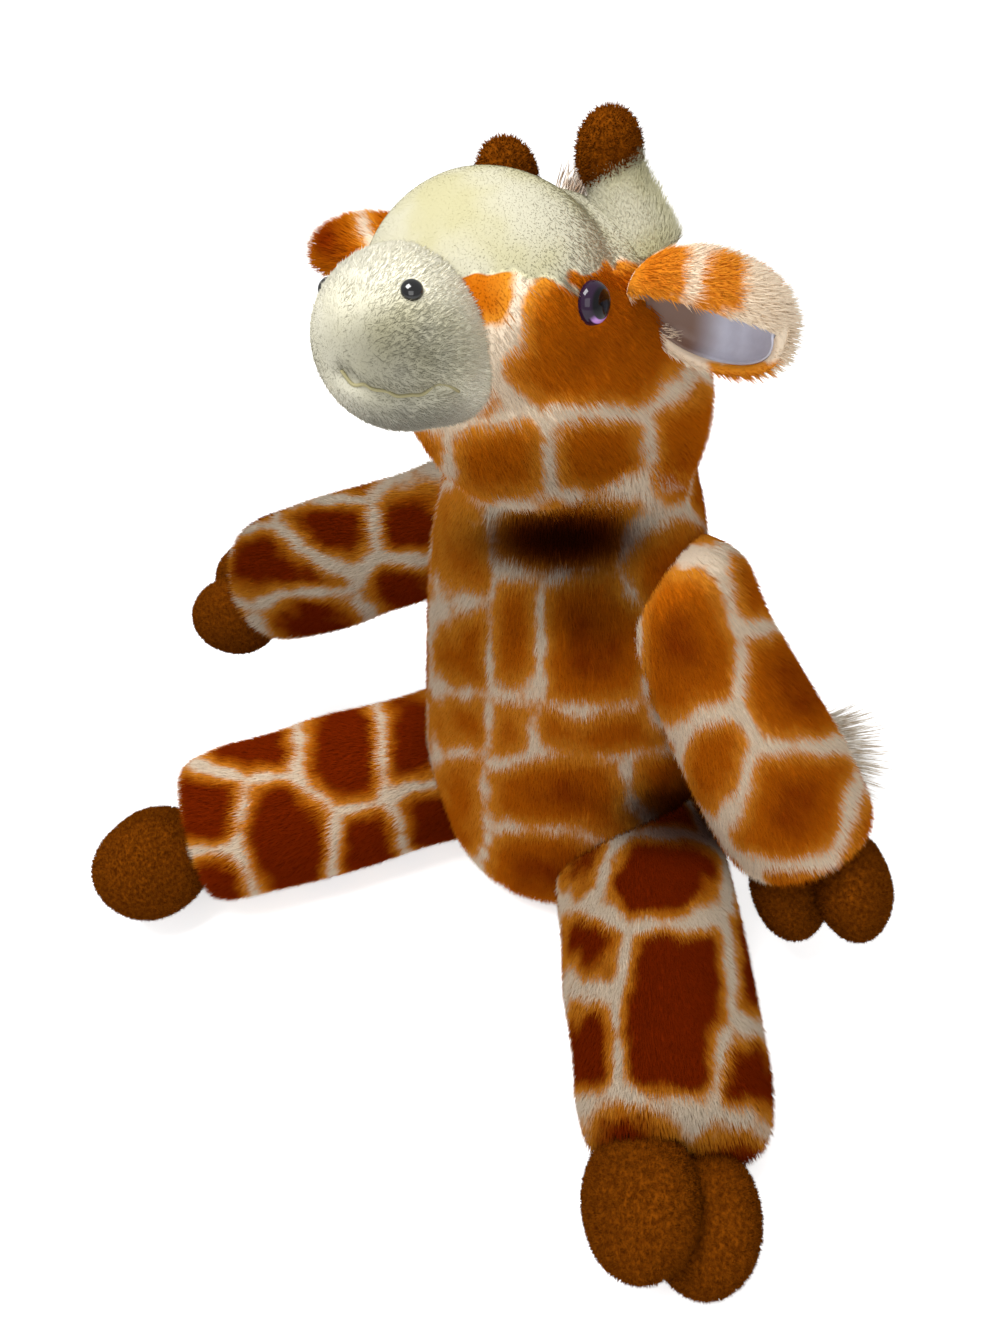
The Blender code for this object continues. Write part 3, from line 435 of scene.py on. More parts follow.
def hoof_form(name, centre, way, across, reach, spread):
    """Two lobes side by side, pressed flat where they touch the ground."""
    side, up, along = axes_at(way, across)
    turn = Matrix((Vector(side), Vector(up), Vector(along))).transposed().to_4x4()
    eggs = []
    for way_out in (1, -1):
        place = Vector(centre + side * spread * way_out)
        eggs.append((Matrix.Translation(place) @ turn, Vector(reach)))
    thing = melted(name, eggs, voxel=1.1 * MM, rounds=2)
    lay_flat(thing)
    return thing


hooves = {}
for name, side in SIDES:
    way, across = arm_way(side), LEFT_ARM_LOBES
    if side < 0:
        across = turned_about(arm_across(side), way, math.radians(HOOF_ROLLS["arm_right"]))
    hang = unit(way + np.array(HOOF_HANGS[name]))
    cuff = mirrored(SHOULDER, side) + way * ARM_TO_HOOF * ARM_STRETCH[name] * MM
    centre = cuff + hang * HOOF_DROPS[name]
    hooves["arm_" + name] = hoof_form("arm_" + name + "_hoof", centre, hang, across,
                                      ARM_LOBE, ARM_LOBES_APART)
    way = leg_way(side)
    across = turned_about(np.cross(way, (0, 0, 1)), way, math.radians(HOOF_ROLLS["leg_" + name]))
    cuff = mirrored(HIP, side) + way * LEG_TO_HOOF * MM
    centre = cuff - np.array((0, 0, LEG_HOOF_DROP * MM)) + HOOF_SHIFTS[name]
    hooves["leg_" + name] = hoof_form("leg_" + name + "_hoof", centre, way, across,
                                      LEG_LOBE, LEG_LOBES_APART)
print("hooves:", {name: len(thing.data.polygons) for name, thing in hooves.items()})

# %% [markdown]
# ## Node trees written as sums
# A finish is a sum of masks and colours. Wired by hand it takes dozens of nodes and links. A small class
# wraps a node's output, so that adding or multiplying two of them adds the Math node that does it.

# %% A wire that can be added and multiplied


class Wire:
    """A node's output that adds, takes away and multiplies like a number."""

    def __init__(self, graph, socket):
        self.graph, self.socket = graph, socket

    def maths(self, operation, first, second=0.0):
        return self.graph.node('ShaderNodeMath', {"operation": operation}, {0: first, 1: second})

    def __add__(self, other):
        return self.maths('ADD', self, other)

    def __radd__(self, other):
        return self.maths('ADD', other, self)

    def __sub__(self, other):
        return self.maths('SUBTRACT', self, other)

    def __rsub__(self, other):
        return self.maths('SUBTRACT', other, self)

    def __mul__(self, other):
        return self.maths('MULTIPLY', self, other)

    def ease(self, low, high):
        """0 below low, 1 above high, and smooth between."""
        return self.graph.node('ShaderNodeMapRange', {"interpolation_type": 'SMOOTHSTEP'},
                               {"Value": self, "From Min": low, "From Max": high})


# %% [markdown]
# ## A graph that makes nodes
# One method makes any node: first its settings, then the values or links of its sockets. Noise is read
# from Object coordinates, so it stays on the cloth when a limb moves.

# %% A graph of nodes


class Graph:
    """A node tree that is written as sums and calls."""

    def __init__(self, tree):
        self.tree = tree

    @staticmethod
    def pick(sockets, key):
        usable = [socket for socket in sockets if socket.enabled]
        if isinstance(key, int):
            return usable[key]
        return next(socket for socket in usable if socket.name == key)

    def feed(self, socket, value):
        if isinstance(value, Wire):
            self.tree.links.new(value.socket, socket)
        else:
            socket.default_value = value

    def node(self, kind, settings=None, inputs=None, output=0):
        made = self.tree.nodes.new(kind)
        for key, value in (settings or {}).items():
            setattr(made, key, value)
        for key, value in (inputs or {}).items():
            self.feed(self.pick(made.inputs, key), value)
        return Wire(self, self.pick(made.outputs, output))

    def mix(self, share, first, second):
        return self.node('ShaderNodeMix', {"data_type": 'RGBA'}, {"Factor": share, "A": first, "B": second})

    def attribute(self, name):
        return self.node('ShaderNodeAttribute', {"attribute_name": name}, output="Fac")

    def noise(self, scale, detail=2.0):
        place = self.node('ShaderNodeTexCoord', output="Object")
        return self.node('ShaderNodeTexNoise', {}, {"Vector": place, "Scale": scale, "Detail": detail})

    def bump(self, height, strength, distance):
        return self.node('ShaderNodeBump', {}, {"Height": height, "Strength": strength, "Distance": distance})


# %% [markdown]
# ## Colours and new finishes
# Colours are chosen as a screen shows them and turned into the linear light that nodes work with. Each
# finish starts from the principled shader, whose constants are set on its own sockets.

# %% Colours and finishes


def colour(red, green, blue):
    """A display colour, each part up to 255, as the linear colour that nodes take."""
    linear = [((part / 255 + 0.055) / 1.055) ** 2.4 if part > 10 else part / 3295
              for part in (red, green, blue)]
    return (*linear, 1)


def new_finish(name, roughness, **constants):
    """A material with a principled shader; returns it with its graph and shader."""
    finish = bpy.data.materials.new(name)
    finish.use_nodes = True
    graph = Graph(finish.node_tree)
    shader = finish.node_tree.nodes["Principled BSDF"]
    shader.inputs["Roughness"].default_value = roughness
    for key, value in constants.items():
        shader.inputs[key.replace("_", " ")].default_value = value
    return finish, graph, shader


print("mid grey is", [round(part, 3) for part in colour(128, 128, 128)])

# %% [markdown]
# ## The printed coat
# The cloth is white plush printed with patches: a fuzzy yellow edge, orange, and rust in the middle. A
# printed picture isn't needed, because each point of the cloth knows how deep inside a patch it lies.
# Cream velour covers the brow and the muzzle, and where painted shade is deep, as in a fold, the coat is
# painted a deeper red.

# %% Coat colours
LINE = colour(232, 213, 188)
EDGE = colour(218, 140, 40)
ORANGE = colour(186, 96, 8)
RUST = colour(126, 38, 2)
CREAM = colour(236, 231, 204)
BUFF = colour(224, 217, 172)
MILK = colour(234, 230, 213)


def coat_colour(graph):
    """White lines, a fuzzy yellow edge, orange patches and their rust middles, from the patch attribute."""
    patch = graph.attribute("patch")
    ruffled = patch + (graph.noise(420.0, 3.0) - 0.5) * 0.16
    warm = graph.mix(ruffled.ease(-0.04, 0.3), EDGE, ORANGE)
    middle = (patch + (graph.noise(90.0) - 0.5) * 0.5) * graph.attribute("rusty")
    deep = graph.mix(middle.ease(0.16, 0.85), warm, RUST)
    coat = graph.mix(ruffled.ease(-0.14, 0.03), LINE, deep)
    # Painted shade: where the shade attribute is low, at the chin and in the lap, the coat is tinted rust.
    coat = graph.mix((1.0 - graph.attribute("shade").ease(0.1, 0.75)) * 0.8, coat, RUST)
    face = graph.mix(graph.noise(55.0).ease(0.35, 0.75), CREAM, BUFF)
    face = graph.mix(graph.attribute("milky"), face, MILK)
    return graph.mix(graph.attribute("pale").ease(0.4, 0.6), coat, face)


print("coat colours:", len((LINE, EDGE, ORANGE, RUST, CREAM, BUFF, MILK)))

# %% [markdown]
# ## Backing and pile
# Plush is a dull knitted backing with a cut pile on it. Light sinks between the strands, so the coat is
# darker at their roots and lighter at their tips. Nothing in it is glossy: a grazing sheen would only
# grey its colours.

# %% The coat's two finishes
TIP_LIGHT, PALE_ROOT = 1.12, 0.95


def coat_finish(name, light):
    """Printed plush; light is how bright the roots of its pile are."""
    finish, graph, shader = new_finish(name, 1.0, Specular_IOR_Level=0.0)
    along = graph.attribute("along")
    root = light + graph.attribute("pale") * (PALE_ROOT - light)
    shade = (root + along * (TIP_LIGHT - root)) * graph.attribute("shade")
    tint = graph.node('ShaderNodeVectorMath', {"operation": 'SCALE'}, {0: coat_colour(graph), "Scale": shade})
    graph.feed(shader.inputs["Base Color"], tint)
    return finish, graph, shader


skin_finish, graph, shader = coat_finish("plush_backing", 0.62)
graph.feed(shader.inputs["Normal"], graph.bump(graph.noise(1400.0, 3.0), 0.3, 0.0004))
pile_finish, _, _ = coat_finish("plush_pile", 0.7)
print("coat finishes:", skin_finish.name, pile_finish.name)

# %% [markdown]
# ## Fleece and satin
# The hooves and the horns' tips are curly fleece: a fine noise gives both their bump and the painted shade in
# the hollows between the curls. The ears are lined with white satin, with painted shade that dims it deep in
# the ear, where little light reaches.

# %% Fleece and satin
FLEECE = colour(124, 64, 7)


def fleece_finish():
    """Golden brown fleece: little curls, with painted shade in the hollows between them."""
    finish, graph, shader = new_finish("brown_fleece", 1.0, Specular_IOR_Level=0.0)
    curls = graph.noise(650.0, 3.0)
    # Painted shade: this dark goes in the hollows of the curls' bump.
    dark = colour(90, 42, 3)
    graph.feed(shader.inputs["Base Color"], graph.mix(curls.ease(0.3, 0.7), dark, FLEECE))
    graph.feed(shader.inputs["Normal"], graph.bump(curls, 0.8, 0.0009))
    return finish


def satin_finish():
    """Bluish white satin, with painted shade that makes it brown and dim at the ear's root."""
    finish, graph, shader = new_finish("ear_satin", 0.38, Sheen_Weight=0.3)
    weave = graph.noise(160.0, 3.0)
    cloth = graph.mix(weave, colour(178, 178, 194), colour(224, 228, 244))
    # Painted shade: towards the ear's root the satin is painted a dim brown.
    cloth = graph.mix(graph.attribute("outward").ease(0.2, 0.5), colour(122, 90, 72), cloth)
    graph.feed(shader.inputs["Base Color"], cloth)
    graph.feed(shader.inputs["Normal"], graph.bump(weave, 0.35, 0.0012))
    return finish


fleece = fleece_finish()
satin = satin_finish()
print("cloth finishes:", fleece.name, satin.name)

# %% [markdown]
# ## Eyes, beads, thread and hair
# The eyes are glossy domes: a black pupil, a plum iris and a lavender arc low on its outer rim. The arc
# is painted by how far from the dome's middle a point lies, and to which side. Beads and thread are
# plain, and hair varies by noise.

# %% Eyes, beads, thread and hair


def eye_finish():
    """A black pupil in a dark plum dome, with a lavender arc low on its rim."""
    finish, graph, shader = new_finish("eye_dome", 0.08, Specular_IOR_Level=0.35)
    radial = graph.attribute("radial")
    ring = radial.ease(0.68, 0.75) * (1.0 - radial.ease(0.87, 0.92))
    arc = ring * graph.attribute("lower").ease(-0.2, 0.3)
    base = graph.mix(radial.ease(0.62, 0.80), colour(6, 5, 8), colour(40, 22, 44))
    graph.feed(shader.inputs["Base Color"], graph.mix(arc, base, colour(188, 138, 212)))
    return finish


def plain_finish(name, paint, roughness, **constants):
    finish, _, shader = new_finish(name, roughness, **constants)
    shader.inputs["Base Color"].default_value = paint
    return finish


def hair_finish(name, dark, light):
    finish, graph, shader = new_finish(name, 0.7, Sheen_Weight=0.2)
    graph.feed(shader.inputs["Base Color"], graph.mix(graph.noise(260.0, 2.0).ease(0.3, 0.7), dark, light))
    return finish


eye_look = eye_finish()
bead_look = plain_finish("black_bead", colour(10, 9, 10), 0.12, Coat_Weight=0.6)
thread_look = plain_finish("mouth_thread", colour(158, 150, 110), 0.8)
mane_look = hair_finish("mane_hair", colour(166, 132, 100), colour(240, 232, 220))
tuft_look = hair_finish("tuft_hair", colour(160, 134, 96), colour(242, 236, 224))
print("finishes:", [finish.name for finish in bpy.data.materials])

# %% [markdown]
# ## One strand
# A coat is one strand repeated hundreds of thousands of times, so it has as few faces as it can: three
# sides that thin to a point. Short pile is a single spike, and long hair bends over in seven steps.

# %% One strand


def store(thing, name, values, kind='FLOAT'):
    attribute = thing.data.attributes.get(name) or thing.data.attributes.new(name, kind, 'POINT')
    key = "value" if kind == 'FLOAT' else "vector"
    attribute.data.foreach_set(key, np.asarray(values, float).ravel())


def read(thing, name):
    out = np.empty(len(thing.data.vertices))
    thing.data.attributes[name].data.foreach_get("value", out)
    return out


def strand_object(name, steps, bend, sides=3):
    """One hair, a metre tall and a metre across at its root, that thins to a point and bends along X."""
    points, faces, along = [], [], []
    for step in range(steps):
        share = step / steps
        for side in range(sides):
            angle = 2 * math.pi * side / sides
            thin = 0.5 * (1 - 0.75 * share**1.5)
            points.append((thin * math.cos(angle), thin * math.sin(angle), share))
            along.append(share)
    points.append((0, 0, 1))
    along.append(1.0)
    for step in range(steps - 1):
        for side in range(sides):
            low, high, after = step * sides, (step + 1) * sides, (side + 1) % sides
            faces.append((low + side, low + after, high + after, high + side))
    top = (steps - 1) * sides
    for side in range(sides):
        faces.append((top + side, top + (side + 1) % sides, len(points) - 1))
    thing = mesh_object(name, points, faces)
    place = points_of(thing)
    shift = np.zeros_like(place)
    shift[:, 0] = bend * place[:, 2] ** 2
    move_points(thing, place + shift)
    store(thing, "along", along)
    layer = thing.data.uv_layers.new(name="strand_uv")
    for loop in thing.data.loops:
        point = points[loop.vertex_index]
        layer.data[loop.index].uv = ((point[0] + 0.5), point[2])
    thing.hide_render = True
    return thing


spike = strand_object("strand_spike", 1, 0.0)
lock = strand_object("strand_lock", 7, 0.35)
print("faces in a strand:", len(spike.data.polygons), "and in a lock:", len(lock.data.polygons))

# %% [markdown]
# ## A tree that grows things
# A hair system would be combed by hand and would not export. Geometry Nodes grow a coat by rule instead.
# The tree has named inputs, so that each skin can ask for a length, a density and a finish of its own.

# %% A geometry tree with inputs


class Grower(Graph):
    """A geometry tree with inputs of its own, and the few kinds of node that a coat needs."""

    def __init__(self, name, inputs):
        super().__init__(bpy.data.node_groups.new(name, 'GeometryNodeTree'))
        self.tree.is_modifier = True
        for label, kind in inputs.items():
            self.tree.interface.new_socket(label, in_out='INPUT', socket_type='NodeSocket' + kind)
        self.tree.interface.new_socket("Geometry", in_out='OUTPUT', socket_type='NodeSocketGeometry')
        self.given = self.tree.nodes.new('NodeGroupInput')

    def asked(self, name):
        return Wire(self, self.given.outputs[name])

    def named(self, name, kind='FLOAT'):
        return self.node('GeometryNodeInputNamedAttribute', {"data_type": kind}, {"Name": name})

    def random(self, low, high, salt, kind='FLOAT'):
        """A chance for each strand; the salt keeps one draw apart from the next."""
        return self.node('FunctionNodeRandomValue', {"data_type": kind},
                         {"Min": low, "Max": high, "Seed": self.asked("Seed") + salt})

    def vector(self, operation, *inputs, scale=None):
        sockets = dict(enumerate(inputs))
        if scale is not None:
            sockets["Scale"] = scale
        return self.node('ShaderNodeVectorMath', {"operation": operation}, sockets)


# %% [markdown]
# ## Where strands stand and how they lean
# Points are scattered over the skin, and none where the pile attribute is zero. At each of them a strand
# leans from the cloth's normal towards the comb, and chance ruffles it. The seed is fixed, so the coat is
# the same each time.

# %% Scatter and lean
PILE_INPUTS = {"Geometry": "Geometry", "Strand": "Object", "Density": "Float", "Length": "Float",
               "Width": "Float", "Lean": "Float", "Ruffle": "Float", "Seed": "Int", "Finish": "Material"}

graph = Grower("pile", PILE_INPUTS)
PILE = graph.tree
pile = graph.named("pile")
scatter = PILE.nodes.new('GeometryNodeDistributePointsOnFaces')
scatter.distribute_method = 'RANDOM'
graph.feed(scatter.inputs["Mesh"], graph.asked("Geometry"))
graph.feed(scatter.inputs["Density"], graph.asked("Density") * pile.ease(0.02, 0.2))
graph.feed(scatter.inputs["Seed"], graph.asked("Seed"))
points, normal = Wire(graph, scatter.outputs["Points"]), Wire(graph, scatter.outputs["Normal"])
upright = graph.vector('SCALE', normal, scale=1.0 - graph.asked("Lean"))
leaning = graph.vector('SCALE', graph.named("comb", 'FLOAT_VECTOR'), scale=graph.asked("Lean"))
ruffled = graph.vector('SCALE', graph.random((-1, -1, -1), (1, 1, 1), 1, 'FLOAT_VECTOR'),
                       scale=graph.asked("Ruffle"))
way = graph.vector('NORMALIZE', graph.vector('ADD', graph.vector('ADD', upright, leaning), ruffled))
print("nodes so far:", len(PILE.nodes))

# %% [markdown]
# ## Strands made real
# Each strand is turned about its own length by chance and made as long as the pile is there. The strands
# are made real, told where their colour is read from and given their finish.

# %% Strands made real
WHOLE_TURN = 6.283
SHORTEST, LONGEST = 0.65, 1.2

facing = graph.node('FunctionNodeAlignRotationToVector', {"axis": 'Z'}, {"Vector": way})
turn = graph.node('FunctionNodeAxisAngleToRotation', {},
                  {"Axis": (0, 0, 1), "Angle": graph.random(0.0, WHOLE_TURN, 2)})
turned = graph.node('FunctionNodeRotateRotation', {"rotation_space": 'LOCAL'},
                    {"Rotation": facing, "Rotate By": turn})
tall = graph.asked("Length") * pile * graph.random(SHORTEST, LONGEST, 3)
size = graph.node('ShaderNodeCombineXYZ', {},
                  {"X": graph.asked("Width"), "Y": graph.asked("Width"), "Z": tall})
strand = graph.node('GeometryNodeObjectInfo', {"transform_space": 'ORIGINAL'},
                    {"Object": graph.asked("Strand"), "As Instance": True}, "Geometry")
hairs = graph.node('GeometryNodeInstanceOnPoints', {},
                   {"Points": points, "Instance": strand, "Rotation": turned, "Scale": size})
mapped = graph.node('GeometryNodeRealizeInstances', {}, {"Geometry": hairs})
spread_uv = graph.vector('MULTIPLY', graph.named("strand_uv", 'FLOAT_VECTOR'), (0.0012, 0.0012, 0))
place_uv = graph.vector('ADD', graph.named("root_uv", 'FLOAT_VECTOR'), spread_uv)
mapped = graph.node('GeometryNodeStoreNamedAttribute', {"data_type": 'FLOAT2', "domain": 'CORNER'},
                    {"Geometry": mapped, "Name": "OFBake", "Value": place_uv})
for name in ("strand_uv", "root_uv", "comb", "pile"):
    mapped = graph.node('GeometryNodeRemoveAttribute', {}, {"Geometry": mapped, "Name": name})
painted = graph.node('GeometryNodeSetMaterial', {}, {"Geometry": mapped, "Material": graph.asked("Finish")})
PILE.links.new(painted.socket, PILE.nodes.new('NodeGroupOutput').inputs["Geometry"])
print("pile tree:", len(PILE.nodes), "nodes")

# %% [markdown]
# ## A coat on a skin
# The tree is put on a copy of the skin, its inputs are set by the sockets' identifiers, and the result
# becomes a plain mesh of its own. A large skin grows its pile in parts, each only where a test says so.

# %% Growing a coat
PER_SQUARE_MM = 1e6


def grow(name, skin, strand, finish, seed, density, length, width, lean, ruffle, only=None):
    """Strands on a skin as a plain mesh, density to a square millimetre; only tells where they grow."""
    holder = bpy.data.objects.new(name, skin.data.copy())
    bpy.context.scene.collection.objects.link(holder)
    if only is not None:
        keep = bmesh.new()
        keep.from_mesh(holder.data)
        keep.faces.ensure_lookup_table()
        bmesh.ops.delete(keep, geom=[face for face in keep.faces if not only(face.calc_center_median())],
                         context='FACES')
        keep.to_mesh(holder.data)
        keep.free()
    modifier = holder.modifiers.new("pile", 'NODES')
    modifier.node_group = PILE
    given = {"Strand": strand, "Density": density * PER_SQUARE_MM, "Length": length, "Width": width,
             "Lean": lean, "Ruffle": ruffle, "Seed": seed, "Finish": finish}
    for item in PILE.interface.items_tree:
        if item.in_out == 'INPUT' and item.name in given:
            modifier[item.identifier] = given[item.name]
    holder = made_plain(holder)
    print(name, len(holder.data.polygons), "faces")
    return holder


# %% [markdown]
# ## Where a strand takes its colour from
# In an exported model each strand takes its colour from the place where it stands. That place is written
# as longitude and height about the piece's own axis, which suits these forms, since all of them are
# round.

# %% Longitude and height
UV_SPAN, UV_EDGE = 0.996, 0.001


def wrap_uv(thing, matrix):
    """Longitude and height about the Z of a frame, as the place that a strand's colour is read from."""
    place = np.array(matrix.inverted().to_3x3()) @ (points_of(thing) - np.array(matrix.translation)).T
    around = np.arctan2(place[1], place[0]) / (2 * math.pi) + 0.5
    height = (place[2] - place[2].min()) / np.ptp(place[2])
    layer = thing.data.uv_layers.new(name="root_uv")
    corner = np.empty(len(thing.data.loops), int)
    thing.data.loops.foreach_get("vertex_index", corner)
    start = np.empty(len(thing.data.polygons), int)
    total = np.empty(len(thing.data.polygons), int)
    thing.data.polygons.foreach_get("loop_start", start)
    thing.data.polygons.foreach_get("loop_total", total)
    face = np.repeat(np.arange(len(start)), total)
    u = around[corner]
    high = np.maximum.reduceat(u, start)[face]
    u = np.where(high - u > 0.5, 1.0, u)
    layer.data.foreach_set("uv", (np.column_stack([u, height[corner]]) * UV_SPAN + UV_EDGE).ravel())


# %% [markdown]
# ## The patches that the photograph shows
# Each printed patch that can be seen is noted as a box, by its edges in the photograph's pixels. A box is
# only four numbers, and the cloth rounds its corners and frays its edge later on.

# %% Boxes of the patches
PATCHES = {
    "head": ((516, 280, 668, 406), (468, 274, 512, 332), (456, 420, 540, 496), (552, 412, 640, 484),
             (525, 500, 612, 516), (449, 396, 490, 416), (387, 430, 440, 482),
             (652, 398, 706, 476), (628, 488, 700, 530)),
    "ear_left": ((622, 230, 692, 300), (692, 258, 736, 306), (692, 366, 790, 396)),
    "ear_right": ((306, 206, 366, 272), (372, 190, 424, 244)),
    "torso": ((500, 512, 612, 562), (452, 520, 488, 590), (550, 575, 642, 700), (456, 605, 486, 682),
              (497, 590, 532, 688), (447, 692, 487, 742), (492, 692, 530, 752), (552, 708, 684, 748),
              (496, 755, 622, 822), (632, 745, 705, 800), (500, 828, 580, 888), (625, 535, 690, 600),
              (655, 640, 700, 735), (452, 760, 480, 830)),
    "leg_right": ((178, 778, 245, 845), (243, 785, 336, 892), (305, 708, 382, 802), (228, 728, 300, 770),
                  (338, 810, 407, 877), (390, 708, 442, 790), (402, 782, 472, 852),
                  (195, 852, 257, 912)),
    "leg_left": ((600, 852, 702, 920), (572, 912, 620, 982), (625, 925, 722, 1112), (578, 990, 612, 1090),
                 (735, 905, 772, 1012), (715, 1030, 772, 1117), (585, 1095, 692, 1152),
                 (700, 1110, 757, 1177), (575, 840, 605, 890)),
    "arm_left": ((655, 585, 728, 702), (728, 560, 787, 622), (745, 620, 836, 742), (698, 718, 750, 792),
                 (738, 745, 842, 842), (845, 800, 882, 852)),
    "arm_right": ((300, 505, 372, 567), (385, 473, 447, 552), (325, 472, 405, 494), (252, 543, 345, 590),
                  (288, 592, 352, 628), (375, 562, 442, 604)),
}
print("patches noted:", {name: len(boxes) for name, boxes in PATCHES.items()})

# %% [markdown]
# ## From places to pixels and back
# A point of the cloth lands in the picture where the camera's lens sends it. The other way, a ray through
# a pixel finds the cloth that lies there. Noise with a salt gives each piece lumps and frays of its own.

# %% Pixels and rays
CAMERA_PLACE = np.array(camera.matrix_world.translation)
CAMERA_AXES = np.array(camera.matrix_world.to_3x3())


def pixel_of(points):
    """Where points land in the picture, and how far away they are."""
    seen = (np.asarray(points) - CAMERA_PLACE) @ CAMERA_AXES
    away = -seen[:, 2]
    across, up = FOCAL_PIXELS * seen[:, 0] / away, FOCAL_PIXELS * seen[:, 1] / away
    return PHOTO_WIDTH / 2 + across, PHOTO_HEIGHT / 2 - up, away


def ray_of(u, v):
    way = np.array(((u - PHOTO_WIDTH / 2) / FOCAL_PIXELS, (PHOTO_HEIGHT / 2 - v) / FOCAL_PIXELS, -1))
    return Vector(CAMERA_PLACE), Vector(CAMERA_AXES @ way).normalized()


def tree_of(thing):
    shape = bmesh.new()
    shape.from_mesh(thing.data)
    tree = BVHTree.FromBMesh(shape)
    shape.free()
    return tree


def noise_at(points, scale, salt=0.0):
    return np.array([noise.noise(Vector(p) * scale + Vector((salt, salt, salt))) for p in points])


middle = pixel_of([HEAD.translation])
print("the head's middle lands at pixel", round(float(middle[0][0])), round(float(middle[1][0])))

# %% [markdown]
# ## How far a point lies outside the boxes
# The distance to each box is measured in the picture and turned into metres at that depth. Where two
# boxes are about equally near, a line is kept between them. Cloth that turns away from the camera is left
# out smoothly.

# %% Seen patches
PRINTS = {"torso": (6.5 * MM, 3.0 * MM), "leg_left": (5.6 * MM, 4.0 * MM), "leg_right": (5.0 * MM, 4.0 * MM),
          "arm_left": (4.2 * MM, 4.5 * MM), "arm_right": (5.0 * MM, 4.0 * MM), "head": (4.4 * MM, 4.0 * MM),
          "ear_left": (1.0 * MM, 4.0 * MM), "ear_right": (2.5 * MM, 3.0 * MM)}
TURNED_AWAY, TURNED_COST = 0.12, 0.06


def seen_patches(name, points, facing, growth, line):
    """How far each point lies outside the noted boxes; growth is how far the print reaches past them."""
    u, v, away = pixel_of(points)
    reaches = [np.full(len(points), 1.0)] * 2
    for x0, y0, x1, y1 in PATCHES.get(name, ()):
        half_x, half_y = (x1 - x0) / 2, (y1 - y0) / 2
        across, along = np.abs((u - (x0 + x1) / 2) / half_x), np.abs((v - (y0 + y1) / 2) / half_y)
        reach = (across ** 3 + along ** 3) ** (1 / 3)
        mean = min(half_x, half_y) * away / FOCAL_PIXELS
        reaches.append((reach - 1) * mean + np.maximum(0, TURNED_AWAY - facing) * TURNED_COST)
    nearest, second = np.sort(reaches, axis=0)[:2]
    return np.maximum(nearest - growth, (line - (second - nearest)) / 2)


print("pieces with a print of their own:", len(PRINTS))

# %% [markdown]
# ## Patches where the photograph sees nothing
# The print goes on round the back. Points are drawn in a fixed random order and kept if they are far
# enough from those kept before. The cloth nearest to one of them is its patch, with a line left between
# neighbours.

# %% Guessed patches
EAR_TURNED, EAR_COST = -0.1, 40 * MM
CLEAR_OF_SEEN = 10 * MM


def own_patches(name, points, facing, seen, seed, spacing, line, widest):
    """How far each point lies outside patches scattered at a spacing, clear of those that are seen."""
    order = np.random.default_rng(seed).permutation(len(points))
    middles = []
    for index in order:
        bare = name.startswith("ear") and facing[index] > EAR_TURNED
        near = bare or seen[index] < CLEAR_OF_SEEN
        if not near and all(np.linalg.norm(points[index] - m) >= spacing for m in middles):
            middles.append(points[index])
    middles += [points[0] + 1, points[0] + 1]
    gaps = np.sort(np.linalg.norm(points[:, None] - np.array(middles)[None], axis=2), axis=1)
    nearest, second = gaps[:, 0], gaps[:, 1]
    own = nearest - np.minimum((nearest + second) / 2 - line / 2, widest)
    own = np.maximum(own, line - np.maximum(seen, 0))
    if name.startswith("ear"):
        own = own + np.maximum(0, facing - EAR_TURNED) * EAR_COST
    return own


# %% [markdown]
# ## How deep inside a patch
# Seen and guessed patches are joined, and two noises fray their edge as the ends of the pile do. The
# result is kept on the points, so the finish can turn it into an edge, a patch and its middle.

# %% Patch depth
FRAY, FUZZ = 1.6 * MM, 0.5 * MM


def patch_field(thing, name, seed, spacing=25 * MM, line=4.5 * MM, widest=20 * MM):
    """How deep inside a patch each point lies, in centimetres; negative on the lines between patches."""
    points = points_of(thing)
    back = CAMERA_PLACE - points
    facing = (back * normals_of(thing)).sum(1) / np.linalg.norm(back, axis=1)
    growth, line = PRINTS.get(name, (4 * MM, line))
    seen = seen_patches(name, points, facing, growth, line)
    own = own_patches(name, points, facing, seen, seed, spacing, line, widest)
    frayed = np.minimum(seen, own) + noise_at(points, 110, seed) * FRAY + noise_at(points, 420, seed) * FUZZ
    return np.clip(-frayed * 100, -1, 1)


def buried(thing, others):
    """True for the points that lie inside another form."""
    inside = np.zeros(len(thing.data.vertices), bool)
    for other in others:
        tree = tree_of(other)
        for index, point in enumerate(points_of(thing)):
            near, normal, _, distance = tree.find_nearest(Vector(point), 60 * MM)
            if near is not None and (Vector(point) - near).dot(normal) < -1.2 * MM:
                inside[index] = True
    return inside


# %% [markdown]
# ## Brightness, painted shade, rust and gold
# Each piece's colour is scaled by a brightness of its own, which makes the head paler. Painted shade darkens
# it at the chin, the jaw, the lap, the thighs and the muzzle's middle, drawn as soft ovals in pixels as the
# camera sees them: centre, half width, half height and depth.

# %% Brightness and painted shade
# Painted shade, per piece: ovals that darken the coat where shade falls, at the chin, the jaw, the lap, the
# thighs and the muzzle's middle.
PAINTED_SHADES = {"torso": ((565, 534, 96, 38, 0.95), (460, 620, 60, 90, 0.2), (592, 600, 70, 45, 0.5),
                    (672, 806, 62, 30, 0.8)),
          "head": ((640, 480, 70, 50, 0.2), (520, 470, 95, 42, 0.28)),
          "leg_left": ((690, 824, 80, 30, 0.75),),
          "leg_right": ((450, 790, 60, 120, 0.3),),
          "muzzle": ((390, 352, 76, 58, 0.72), (400, 425, 90, 30, 0.57), (316, 322, 28, 60, 0.27),
                     (350, 272, 40, 25, 0.25))}
RUSTY = {"torso": 0.8, "leg_left": 2.5, "leg_right": 1.7, "arm_left": 0.7, "arm_right": 1.9, "head": 0.5,
         "ear_left": 0.2, "ear_right": 0.8}
